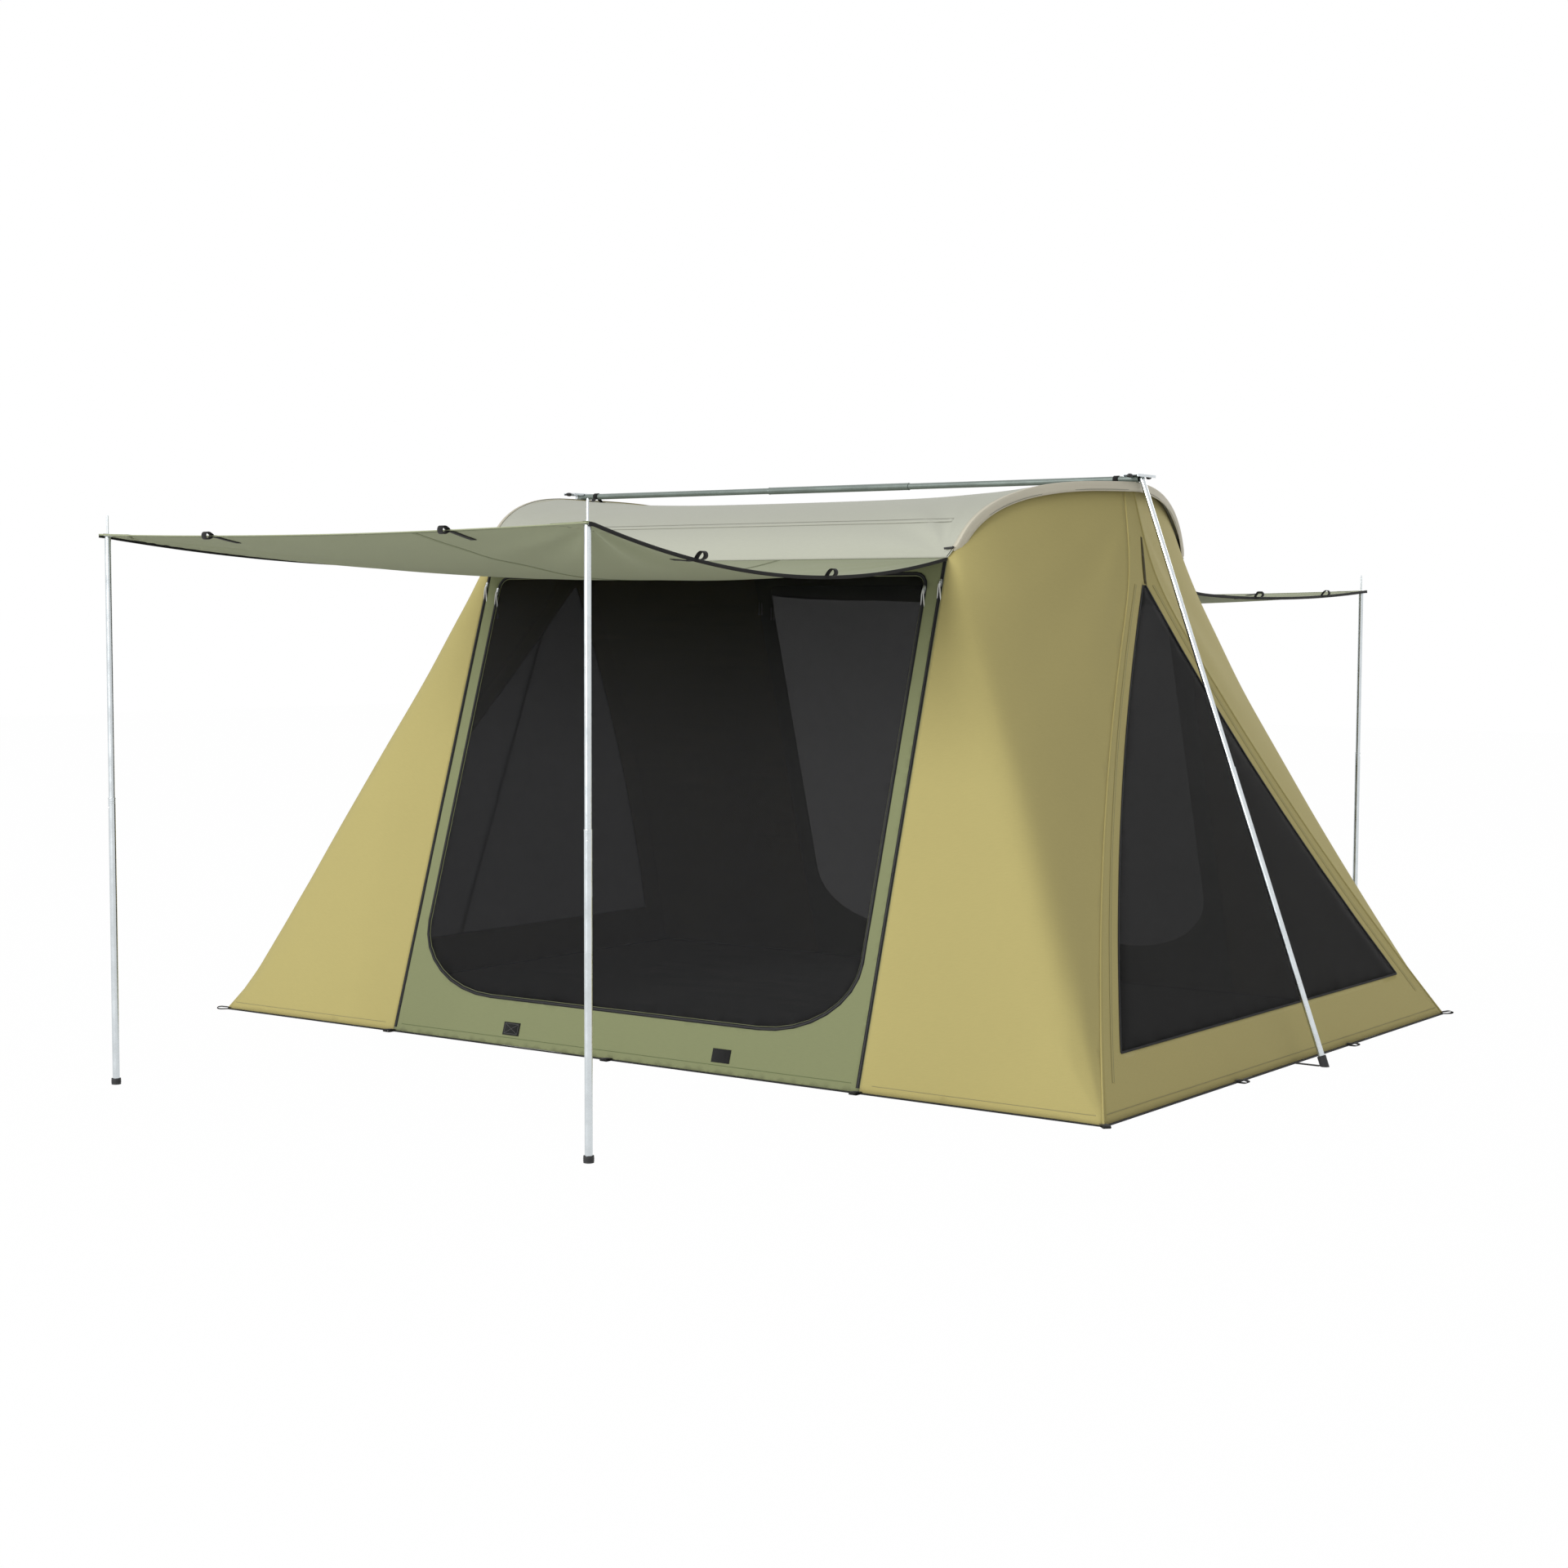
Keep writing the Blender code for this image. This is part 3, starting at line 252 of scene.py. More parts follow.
def makeMetalGroup():
    inputs = {"Color": (0.6, 0.6, 0.6, 1), "Roughness": 0.3, "Wear": 0.2}
    tree, given, result = startGroup("drawnTube", "Color", inputs)
    where = given["Vector"]
    draw = cloudy(tree, where, 1.0, 3.0, stretch=(300.0, 300.0, 3.0))
    spangle = put(tree, "ShaderNodeTexVoronoi", {"Vector": where, "Scale": 90.0}).outputs["Distance"]
    mark = swing(tree, cloudy(tree, where, 14.0, 4.0), given["Wear"])
    spot = swing(tree, spangle, maths(tree, "MULTIPLY", given["Wear"], 0.25))
    factor = maths(tree, "ADD", 1.0, maths(tree, "ADD", mark, spot))
    worn = maths(tree, "ADD", given["Roughness"], maths(tree, "MULTIPLY", mark, 1.2), clamp=True)
    return deliver(tree, result, Color=shaded(tree, given["Color"], factor), Roughness=worn, Height=draw)


def makeMouldGroup():
    tree, given, result = startGroup("mouldedSkin", "Color", {"Color": (0.02, 0.02, 0.02, 1), "Grain": 900.0})
    where = given["Vector"]
    fine = cloudy(tree, where, given["Grain"], 2.0)
    dust = cloudy(tree, where, 25.0, 5.0)
    return deliver(tree, result, Color=shaded(tree, given["Color"], mapped(tree, dust, 0.8, 1.5)),
                   Roughness=mapped(tree, dust, 0.45, 0.7), Height=fine)


groups = {"weave": makeWeaveGroup(), "net": makeNetGroup(), "metal": makeMetalGroup(), "mould": makeMouldGroup()}
clothGroups = ("weave", "net")


def woven(slot, colour, threads=260.0, cloud=0.06, speckle=0.10):
    return {"group": "weave", "slot": slot, "colour": colour, "Threads": threads, "Cloud": cloud,
            "Speckle": speckle}


def netted(slot, colour, cover):
    return {"group": "net", "slot": slot, "colour": colour, "Pitch": 150.0, "Cover": cover}


def metal(slot, colour, roughness, wear, metallic):
    return {"group": "metal", "slot": slot, "colour": colour, "Roughness": roughness, "Wear": wear,
            "metallic": metallic}


def moulded(slot, colour, grain):
    return {"group": "mould", "slot": slot, "colour": colour, "Grain": grain}


# each finish: its material slot, its colour in linear light, and its own values
finishes = {
    "tanCanvas": woven("tan_canvas", (0.470, 0.405, 0.158)),
    "greenCanvas": woven("green_canvas", (0.238, 0.258, 0.132)),
    "awningCanvas": woven("awning_canvas", (0.325, 0.352, 0.222), speckle=0.09),
    "roofCanvas": woven("roof_canvas", (0.520, 0.530, 0.450), cloud=0.05, speckle=0.06),
    "hemCream": woven("roof_canvas", (0.66, 0.62, 0.50), cloud=0.05, speckle=0.06),
    "seamThread": woven("tan_canvas", (0.30, 0.27, 0.13), 900.0, 0.1, 0.2),
    "greenThread": woven("green_canvas", (0.13, 0.16, 0.07), 900.0, 0.1, 0.2),
    "roofThread": woven("roof_canvas", (0.30, 0.30, 0.25), 900.0, 0.1, 0.2),
    "greyThread": woven("black_webbing", (0.09, 0.09, 0.09), 900.0, 0.1, 0.2),
    "blackTape": woven("black_webbing", (0.012, 0.012, 0.012), 420.0, 0.3, 0.5),
    "floorCloth": woven("groundsheet", (0.56, 0.56, 0.55), 180.0, 0.2, 0.2),
    "whiteCord": woven("white_cord", (0.78, 0.78, 0.75), 700.0, 0.05, 0.1),
    "flyNet": netted("mesh_net", (0.012, 0.012, 0.013), 0.60),
    # painted shade: the window net is the door net with a darker colour, standing in for the shade on the tent's
    # ends; its thicker cover lets less through
    "shadedWindowNet": netted("mesh_net", (0.007, 0.007, 0.007), 0.74),
    # painted shade: a near black brown cloth colour that stands in for the shadow inside the pleat above each window
    "paintedPleatShade": woven("tan_canvas", (0.052, 0.040, 0.006), cloud=0.1, speckle=0.2),
    "steelTube": metal("steel_tube", (0.62, 0.66, 0.68), 0.28, 0.25, 1.0),
    "ridgePaint": metal("ridge_tube", (0.22, 0.26, 0.24), 0.38, 0.3, 0.7),
    "zincPlate": metal("steel_tube", (0.70, 0.72, 0.72), 0.33, 0.35, 1.0),
    "blackPlastic": moulded("black_plastic", (0.014, 0.014, 0.015), 900.0),
    "zipTeeth": moulded("zip_tape", (0.030, 0.030, 0.032), 1400.0),
}
skinDeep = {"bump": 0.35, "clothDepth": 0.0003, "hardDepth": 0.00015, "clothShine": 0.2, "hardShine": 0.5,
            "sheen": 0.08, "sheenRoughness": 0.6}


def makeFinish(name, c, deep):
    made = bpy.data.materials.new(name)
    made.use_nodes = True
    tree = made.node_tree
    shader = tree.nodes["Principled BSDF"]
    clothy = c["group"] in clothGroups
    where = put(tree, "ShaderNodeTexCoord").outputs["UV" if clothy else "Object"]
    part = put(tree, "ShaderNodeGroup", node_tree=groups[c["group"]])
    tree.links.new(where, part.inputs["Vector"])
    for key, value in c.items():
        if key in part.inputs:
            part.inputs[key].default_value = value
    if "Color" in part.inputs:
        part.inputs["Color"].default_value = (*c["colour"], 1)
        tree.links.new(part.outputs["Color"], shader.inputs["Base Color"])
    else:
        shader.inputs["Base Color"].default_value = (*c["colour"], 1)
        tree.links.new(part.outputs["Alpha"], shader.inputs["Alpha"])
    tree.links.new(part.outputs["Roughness"], shader.inputs["Roughness"])
    bump = put(tree, "ShaderNodeBump", {"Strength": deep["bump"], "Height": part.outputs["Height"],
                                        "Distance": deep["clothDepth" if clothy else "hardDepth"]})
    tree.links.new(bump.outputs[0], shader.inputs["Normal"])
    shader.inputs["Metallic"].default_value = c.get("metallic", 0.0)
    shader.inputs["Specular IOR Level"].default_value = deep["clothShine" if clothy else "hardShine"]
    if c["group"] == "weave":
        shader.inputs["Sheen Weight"].default_value = deep["sheen"]
        shader.inputs["Sheen Roughness"].default_value = deep["sheenRoughness"]
    return made


paints = {name: makeFinish(name, c, skinDeep) for name, c in finishes.items()}
print("finishes made:", len(paints))

# cloth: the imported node's outer faces, smoothed, creased and given their thickness again
skinSet = {"merge": 1e-5, "facing": 0.03, "sliver": 0.0025, "inward": 0.0006, "faceAngle": 0.6, "shapeAngle": 1.6,
           "cornerDot": -0.9, "sharp": 48, "clothThick": 0.0012, "netThick": 0.0006, "seedStep": 7.3,
           "ruffleRate": 4.1}
skins = {}
rims = {}


def dress(made, finish, body, smooth=True, replaced=()):
    made.data.materials.clear()
    made.data.materials.append(paints[finish])
    if smooth:
        made.data.shade_smooth()
        made.data.set_sharp_from_angle(angle=math.radians(skinSet["sharp"]))
    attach(made, body)
    if replaced:
        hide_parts(*replaced)


def outerSkin(nodeName, outward):
    # the outer faces of a thin cloth solid, moved in to the middle of its thickness
    c = skinSet
    bm = bmesh.new()
    bm.from_mesh(cad[nodeName].data)
    bmesh.ops.remove_doubles(bm, verts=bm.verts, dist=c["merge"])
    bm.normal_update()
    hint = Vector(outward)
    spare = []
    for f in bm.faces:
        widest = max(e.calc_length() for e in f.edges)
        if f.normal.dot(hint) < c["facing"] or 2 * f.calc_area() / widest < c["sliver"]:
            spare.append(f)
    bmesh.ops.delete(bm, geom=spare, context="FACES")
    bm.normal_update()
    for v in bm.verts:
        v.co -= v.normal * c["inward"]
    bmesh.ops.join_triangles(bm, faces=bm.faces, angle_face_threshold=c["faceAngle"],
                             angle_shape_threshold=c["shapeAngle"])
    return bm


def rounded(bm, name, level):
    # subdivided smooth, with the border's sharp corners kept
    sharp = bm.verts.layers.float.get("crease_vert") or bm.verts.layers.float.new("crease_vert")
    for v in bm.verts:
        rim = [(e.other_vert(v).co - v.co).normalized() for e in v.link_edges if e.is_boundary]
        if len(rim) == 2 and rim[0].dot(rim[1]) > skinSet["cornerDot"]:
            v[sharp] = 1.0
    made = plainPiece(bm, name)
    step = made.modifiers.new("round", "SUBSURF")
    step.levels = level
    step.render_levels = level
    step.boundary_smooth = "PRESERVE_CORNERS"
    fine = bpy.data.meshes.new_from_object(made.evaluated_get(bpy.context.evaluated_depsgraph_get()))
    made.modifiers.clear()
    made.data = fine
    return made


def evenly(bm, step, rounds=7):
    # splits long edges until the mesh is even enough to take soft shapes
    for _ in range(rounds):
        long = [e for e in bm.edges if e.calc_length() > step]
        if not long:
            break
        bmesh.ops.subdivide_edges(bm, edges=long, cuts=1)
        bmesh.ops.triangulate(bm, faces=bm.faces)
        bmesh.ops.beautify_fill(bm, faces=bm.faces, edges=[e for e in bm.edges if not e.is_boundary])


def readVectors(made, kind):
    values = np.empty(len(made.data.vertices) * 3)
    made.data.vertices.foreach_get(kind, values)
    return values.reshape(-1, 3)


def borderDistance(made, points):
    bm = bmesh.new()
    bm.from_mesh(made.data)
    rim = [v.co.copy() for v in bm.verts if v.is_boundary]
    bm.free()
    tree = KDTree(len(rim))
    for k, place in enumerate(rim):
        tree.insert(place, k)
    tree.balance()
    return np.array([tree.find(p)[2] for p in points])


def fan(points, normal, c):
    # creases that spread from a pulled point
    start = np.array(c["at"])
    axis = np.array(c["toward"]) - start
    axis = axis / np.linalg.norm(axis)
    across = np.cross(normal, axis)
    offset = points - start
    turn = np.arctan2(offset @ across, offset @ axis) / math.radians(c["spread"])
    window = np.clip(1 - turn ** 2, 0, 1) ** 2
    along = np.linalg.norm(offset, axis=1) / c["reach"]
    ripple = np.cos(turn * math.pi * c["folds"] + c["phase"])
    return c["depth"] * window * ripple * along * np.exp(1 - along)


def mirrored(fans, sx, sy):
    turned = []
    for item in fans:
        ends = {end: (item[end][0] * sx, item[end][1] * sy, item[end][2]) for end in ("at", "toward")}
        turned.append({**item, **ends})
    return turned


def relief(made, c, seed, fans):
    # soft unevenness and creases, fading to nothing at the borders
    points, normals = readVectors(made, "co"), readVectors(made, "normal")
    mean = normals.mean(axis=0)
    mean = mean / np.linalg.norm(mean)
    edge = np.clip(borderDistance(made, points) / c["fade"], 0, 1)
    edge = edge * edge * (3 - 2 * edge)
    shift = np.zeros(len(points))
    for item in fans:
        shift += fan(points, mean, item)
    level = at(-mean[1], mean[0]).normalized()
    for k, p in enumerate(points):
        place = Vector(p)
        wide = at(place.dot(level) * c["acrossRate"], place.z * c["upRate"], seed * skinSet["seedStep"])
        fine = wide * skinSet["ruffleRate"] + at(3, 1, 8)
        shift[k] += c["swell"] * noise.noise(wide) + c["ruffle"] * noise.noise(fine)
    moved = points + normals * (shift * edge)[:, None]
    made.data.vertices.foreach_set("co", moved.ravel())
    made.data.update()


def levelIn(normal, least):
    # the horizontal direction in a plane, or x where the plane lies flat
    level = sky.cross(normal)
    return level.normalized() if level.length > least else at(x=1.0)


def layPattern(made):
    # UV in metres on the piece's own plane
    mean = Vector(readVectors(made, "normal").mean(axis=0)).normalized()
    level = levelIn(mean, 0.2)
    rise = mean.cross(level).normalized()
    layer = made.data.uv_layers.get("weave") or made.data.uv_layers.new(name="weave")
    for loop in made.data.loops:
        co = made.data.vertices[loop.vertex_index].co
        layer.data[loop.index].uv = (co.dot(level), co.dot(rise))


def thicken(made, thickness=skinSet["clothThick"]):
    step = made.modifiers.new("thickness", "SOLIDIFY")
    step.thickness = thickness
    step.offset = 0.0
    step.use_even_offset = False


def surfaceOf(made):
    bm = bmesh.new()
    bm.from_mesh(made.data)
    tree = BVHTree.FromBMesh(bm)
    bm.free()
    return tree


def flatArea(made):
    return sum(f.area for f in made.data.polygons)


def rimLoops(made):
    # the border loops of an open mesh, as ordered points
    bm = bmesh.new()
    bm.from_mesh(made.data)
    left = {e.index for e in bm.edges if e.is_boundary}
    loops = []
    for edge in [e for e in bm.edges if e.is_boundary]:
        if edge.index not in left:
            continue
        left.discard(edge.index)
        start, v = edge.verts
        line = [start.co.copy(), v.co.copy()]
        while v is not start:
            step = next((e for e in v.link_edges if e.index in left), None)
            if step is None:
                break
            left.discard(step.index)
            v = step.other_vert(v)
            line.append(v.co.copy())
        loops.append(line[:-1])
    bm.free()
    return loops


def finishCloth(made, name, c, seed, finish, body="tent", fans=(), thickness=skinSet["clothThick"]):
    # gives the area of the single layer, measured before it gets its thickness
    relief(made, c, seed, fans)
    layPattern(made)
    skins[name] = surfaceOf(made)
    rims[name] = rimLoops(made)
    area = flatArea(made)
    thicken(made, thickness)
    dress(made, finish, body, replaced=(name,))
    return area


def makeSheet(name, title, outward, c, seed, finish, holder="groundsheet", **more):
    bm = outerSkin(name, outward)
    if "level" in c:
        made = rounded(bm, title, c["level"])
    else:
        evenly(bm, c["step"])
        made = plainPiece(bm, title)
    area = finishCloth(made, name, c, seed, finish, **more)


# the tan wings and end walls; the fans are those of the back right wing
wing = {"level": 3, "fade": 0.10, "swell": 0.006, "ruffle": 0.0012, "acrossRate": 2.2, "upRate": 0.9,
        "flat": (0.96, 2.77),
        "fans": ({"at": (1.45, 0.08, 2.2), "toward": (1.6, 1.3, 0.4), "spread": 38, "folds": 3, "depth": 0.004,
                  "reach": 0.7, "phase": 0.0},
                 {"at": (2.135, 1.525, 0.0), "toward": (1.4, 0.9, 1.6), "spread": 40, "folds": 4, "depth": 0.004,
                  "reach": 0.25, "phase": 0.5})}
# an end wall is a frame round its window; its second flat size is no cut size
endWall = {"level": 3, "fade": 0.03, "swell": 0.002, "ruffle": 0.0008, "acrossRate": 2.5, "upRate": 1.4,
           "flat": (3.05, 1.20)}
for depth, hand, title, sx, sy in quarters:
    makeSheet(f"{depth}_{hand}_wing", title + "Wing", (sx, sy, 0), wing, 1 + sx + 3 * sy, "tanCanvas",
              fans=mirrored(wing["fans"], sx, sy))
for hand, sx in hands:
    makeSheet(f"{hand}_end_wall", f"{hand}EndWall", (sx, 0, 0), endWall, 5 + sx, "tanCanvas")
print("wings and end walls made")

# the green front and back walls, frames round a door like the end walls, and the nets
wall = {"step": 0.05, "fade": 0.03, "swell": 0.003, "ruffle": 0.001, "acrossRate": 2.0, "upRate": 2.0,
        "flat": (2.30, 0.45)}
screenDoor = {"step": 0.07, "fade": 0.12, "swell": 0.008, "ruffle": 0.001, "acrossRate": 1.2, "upRate": 1.0,
              "flat": (2.12, 1.74)}
screenWindow = {**screenDoor, "flat": (2.47, 1.73)}
for depth, sy in sides:
    makeSheet(depth + "_wall", depth + "Wall", (0, sy, 0), wall, 2 + sy, "greenCanvas")
for depth, sy in sides:
    makeSheet(depth + "_screen_door", depth + "ScreenDoor", (0, sy, 0), screenDoor, 11 + len(skins), "flyNet",
              depth + "Wall", body=depth + "_door", thickness=skinSet["netThick"])
# the end windows take the darker net, whose colour is painted shade
for hand, sx in hands:
    makeSheet(hand + "_window", hand + "Window", (sx, 0, 0), screenWindow, 11 + len(skins), "shadedWindowNet",
              hand + "EndWall", thickness=skinSet["netThick"])
print("walls and nets made")

# the roof
roof = {"level": 3, "fade": 0.05, "swell": 0.006, "ruffle": 0.001, "acrossRate": 0.9, "upRate": 3.0,
        "flat": (2.87, 2.08), "endX": 1.150, "heartZ": 1.7,
        "fans": ({"at": (1.12, 0.94, 1.93), "toward": (0.6, 0.6, 2.15), "spread": 60, "folds": 4, "depth": 0.005,
                  "reach": 0.16, "phase": 0.4},)}


def makeRoof(c):
    made = rounded(outerSkin("roof", (0, 0, 1)), "roofCloth", c["level"])
    fans = [item for _, sx in hands for _, sy in sides for item in mirrored(c["fans"], sx, sy)]
    area = finishCloth(made, "roof", c, 4, "roofCanvas", fans=fans)
    edges = {}
    for _, sx in hands:
        ends = [p for p in rims["roof"][0] if p.x * sx > c["endX"]]
        edges[sx] = sorted(ends, key=lambda p: math.atan2(p.z - c["heartZ"], p.y))
    return made, edges, area


roofCloth, roofEdges, roofArea = makeRoof(roof)
print("roof made")

# the two awnings: y runs out from the eave, u from -1 to 1 across
awning = {"start": 0.93971, "eave": 1.92, "reach": 2.062, "span": 2.04, "halfIn": 1.136, "halfOut": 1.137,
          "lift": {"front": 0.06, "back": 0.025}, "rootDrop": {"front": 0.0, "back": 0.10}, "rootRun": 0.056,
          "sag": {"front": (0.04, 0.11), "back": (0.03, 0.03)}, "lipSag": 0.2, "edgeSag": 0.018, "belly": 0.03,
          "columns": 88, "rows": 76, "flat": {"front": (2.29, 2.08), "back": (2.29, 2.11)}}
awningCrease = {"calm": {"front": 0.05, "back": 0.14}, "swell": 0.008, "ruffle": 0.0015, "acrossRate": 1.1,
                "upRate": 0.2, "fanDrop": 0.1,
                "fans": ({"u": 0.98, "y": awning["span"], "toward": (0.2, 1.5), "spread": 55, "folds": 5,
                          "depth": 0.009, "reach": 0.30, "phase": 0.0, "handPhase": 0.3},
                         {"u": 0.99, "y": 0.0, "toward": (0.1, 2.2), "spread": 50, "folds": 4,
                          "depth": 0.006, "reach": 0.25, "phase": 1.1, "handPhase": 0.0})}


def awningPlace(depth, sy, u, y):
    c = awning
    v = y / c["span"]
    half = c["halfIn"] + (c["halfOut"] - c["halfIn"]) * v
    across = 1 - u * u
    left, right = c["sag"][depth]
    sag = left + (right - left) * (u + 1) / 2
    z = c["eave"] + c["lift"][depth] * v - c["rootDrop"][depth] * (1 - math.exp(-y / c["rootRun"]))
    z -= sag * 4 * v * (1 - v) * (1 if v < 1 else c["lipSag"])
    z -= c["edgeSag"] * across * v + c["belly"] * across * math.sin(math.pi * min(v, 1.0))
    return at(half * u, (c["start"] + y) * sy, z)


def awningFans(c, depth, sy):
    for _, sx in hands:
        for item in c["fans"]:
            start = awningPlace(depth, sy, item["u"] * sx, item["y"])
            toward = (item["toward"][0] * sx, item["toward"][1] * sy, start.z - c["fanDrop"])
            yield {**item, "at": tuple(start), "toward": toward, "phase": item["phase"] + item["handPhase"] * sx}


def makeAwnings(c, crease):
    made, areas = {}, {}
    for depth, sy in sides:
        bm = bmesh.new()
        bmesh.ops.create_grid(bm, x_segments=c["columns"], y_segments=c["rows"], size=1.0)
        for v in bm.verts:
            share = (v.co.y + 1) / 2
            share += 0.5 * (share * share - share) if sy > 0 else 0.0
            v.co = awningPlace(depth, sy, math.sin(math.pi / 2 * v.co.x), share * c["reach"])
        if sy < 0:
            bmesh.ops.reverse_faces(bm, faces=bm.faces)
        made[depth] = plainPiece(bm, depth + "Awning")
        creases = {**crease, "fade": crease["calm"][depth]}
        areas[depth] = finishCloth(made[depth], depth + "_awning", creases, 21 + sy, "awningCanvas",
                                   depth + "_awning", list(awningFans(crease, depth, sy)))
    return made, areas


awnings, awningAreas = makeAwnings(awning, awningCrease)
print("awnings made")


# straps, tubes and turned parts, each grown from a few vertices
def cornerAt(item, a, b):
    place, along, out = item
    return place + along.cross(out).normalized() * a + out * b


def sweep(bm, frames, section, ring=False):
    first = [bm.verts.new(cornerAt(frames[0], a, b)) for a, b in section]
    firstEdges = [bm.edges.new((v, first[k - 1])) for k, v in enumerate(first)]
    row, edges = first, firstEdges
    for item in frames[1:]:
        order = {tuple(v.co): k for k, v in enumerate(row)}
        grown = bmesh.ops.extrude_edge_only(bm, edges=edges)["geom"]
        row = sorted((g for g in grown if isinstance(g, bmesh.types.BMVert)), key=lambda v: order[tuple(v.co)])
        fresh = set(row)
        edges = [g for g in grown if isinstance(g, bmesh.types.BMEdge) and fresh.issuperset(g.verts)]
        for v, (a, b) in zip(row, section):
            v.co = cornerAt(item, a, b)
    if ring:
        bmesh.ops.bridge_loops(bm, edges=firstEdges + edges)
    else:
        bm.faces.new(first)
        bm.faces.new(row)


def headings(points):
    last = len(points) - 1
    return [(points[min(k + 1, last)] - points[max(k - 1, 0)]).normalized() for k in range(last + 1)]


def framesOf(points, outs):
    outs = outs if isinstance(outs, list) else [outs] * len(points)
    return [(place, along, (out - along * out.dot(along)).normalized())
            for place, along, out in zip(points, headings(points), outs)]


def strap(bm, points, outs, width, thick):
    half, edge = width / 2, thick * 0.3
    section = [(-half, edge), (-half + edge, 0), (half - edge, 0), (half, edge), (half, thick - edge),
               (half - edge, thick), (-half + edge, thick), (-half, thick - edge)]
    sweep(bm, framesOf(points, outs), section)


def tube(bm, points, radius, steps=10, hint=at(0.31, 0.17, 0.93)):
    turns = [2 * math.pi * k / steps for k in range(steps)]
    section = [(radius * math.cos(t), radius * math.sin(t)) for t in turns]
    out = hint
    outs = []
    for along in headings(points):
        out = (out - along * out.dot(along)).normalized()
        outs.append(out)
    sweep(bm, framesOf(points, outs), section)


def lathe(bm, profile, base, axis, steps=28):
    # a profile of (radius, height) spun about an axis
    axis = Vector(axis).normalized()
    side = axis.orthogonal().normalized()
    line = [bm.verts.new(Vector(base) + side * r + axis * h) for r, h in profile]
    edges = [bm.edges.new(pair) for pair in zip(line, line[1:])]
    bmesh.ops.spin(bm, geom=line + edges, cent=base, axis=axis, angle=2 * math.pi, steps=steps, use_merge=True)
    bmesh.ops.remove_doubles(bm, verts=bm.verts, dist=1e-6)


def block(bm, place, along, out, size, bevel=0.0):
    # a box of (across, along, out) sides, standing on its place
    along, out = along.normalized(), out.normalized()
    basis = Matrix((along.cross(out), along, out)).transposed().to_4x4()
    where = Matrix.Translation(place + out * size[2] / 2) @ basis @ Matrix.Diagonal((*size, 1))
    made = bmesh.ops.create_cube(bm, size=1.0, matrix=where)
    if bevel:
        edges = list({e for v in made["verts"] for e in v.link_edges})
        bmesh.ops.bevel(bm, geom=edges, offset=bevel, segments=2, affect="EDGES")


def boxPattern(made):
    # UV in metres from the face's own direction
    layer = made.data.uv_layers.new(name="weave")
    for f in made.data.polygons:
        level = levelIn(f.normal, 0.3)
        rise = f.normal.cross(level)
        for k in f.loop_indices:
            co = made.data.vertices[made.data.loops[k].vertex_index].co
            layer.data[k].uv = (co.dot(level), co.dot(rise))


def finishPiece(bm, name, finish, body="tent", smooth=True, replaced=()):
    bmesh.ops.recalc_face_normals(bm, faces=bm.faces)
    made = plainPiece(bm, name)
    dress(made, finish, body, smooth, replaced)
    if finishes[finish]["group"] in clothGroups:
        boxPattern(made)
    return made


def joined(shape, runs, name, finish, body="tent"):
    # one piece from several runs of the same shape
    bm = bmesh.new()
    for run in runs:
        shape(bm, *run)
    return finishPiece(bm, name, finish, body)


def cling(skin, points, aim, lift, reach=0.6):
    # points dropped onto a skin along aim, and the skin's side that faces back
    aim = Vector(aim).normalized()
    found, outs = [], []
    for p in points:
        hit, normal, _, _ = skins[skin].ray_cast(p - aim * reach, aim)
        if hit is None:
            continue
        out = -normal if normal.dot(aim) > 0 else normal
        found.append(hit + out * lift)
        outs.append(out)
    return found, outs


def between(a, b, count):
    a, b = Vector(a), Vector(b)
    return [a.lerp(b, k / (count - 1)) for k in range(count)]


def evenPoints(line, step, ring=False):
    # points at an even pitch along a line
    if ring:
        line = line + [line[0]]
    spans = [(b - a).length for a, b in zip(line, line[1:])]
    total = sum(spans)
    count = max(2, round(total / step))
    points, done, k = [], 0.0, 0
    for n in range(count if ring else count + 1):
        want = total * n / count
        while k < len(spans) - 1 and done + spans[k] < want - 1e-9:
            done += spans[k]
            k += 1
        points.append(line[k].lerp(line[k + 1], (want - done) / spans[k]))
    return points


# the plane of the front and back walls, with the door's outline
door = {"foot": 1.525, "level": 0.0049, "seamFoot": 1.15, "eave": 1.136, "eaveOut": 0.93971, "eaveHeight": 1.92,
        "margin": 0.085, "sill": 0.185, "head": 0.07, "steps": 24, "low": (0.40, 0.27), "high": (0.04, 0.04)}


def wallFrame(sy):
    foot = at(y=door["foot"] * sy, z=door["level"])
    up = at(y=door["eaveOut"] * sy, z=door["eaveHeight"]) - foot
    rise = up.length
    up.normalize()
    return foot, up, at(y=up.z * sy, z=-up.y * sy), rise


def doorLine(sy, inset):
    # the four rounded corners one after the other, each a quarter turn
    c = door
    foot, up, _, rise = wallFrame(sy)
    low, high = c["sill"] / up.z + inset, rise - c["head"] - inset
    line = []
    for sign, level, radii, start in ((1, low, c["low"], -90), (1, high, c["high"], 0),
                                      (-1, high, c["high"], 90), (-1, low, c["low"], 180)):
        wide, tall = radii[0] - inset, radii[1] - inset
        middle = level + tall if level == low else level - tall
        half = c["seamFoot"] + (c["eave"] - c["seamFoot"]) * middle / rise - c["margin"] - inset
        for k in range(c["steps"] + 1):
            turn = math.radians(start + 90 * k / c["steps"])
            u = sign * (half - wide) + wide * math.cos(turn)
            line.append(foot + at(x=u) + up * (middle + tall * math.sin(turn)))
    return line


# zips: teeth along every tape
zipSet = {"width": 0.014, "margin": 0.002, "end": 0.015, "topGap": 0.05, "tape": 0.0015, "rest": 0.0009,
          "pitch": 0.0034, "tooth": (0.0056, 0.0017, 0.0011), "batch": 30}


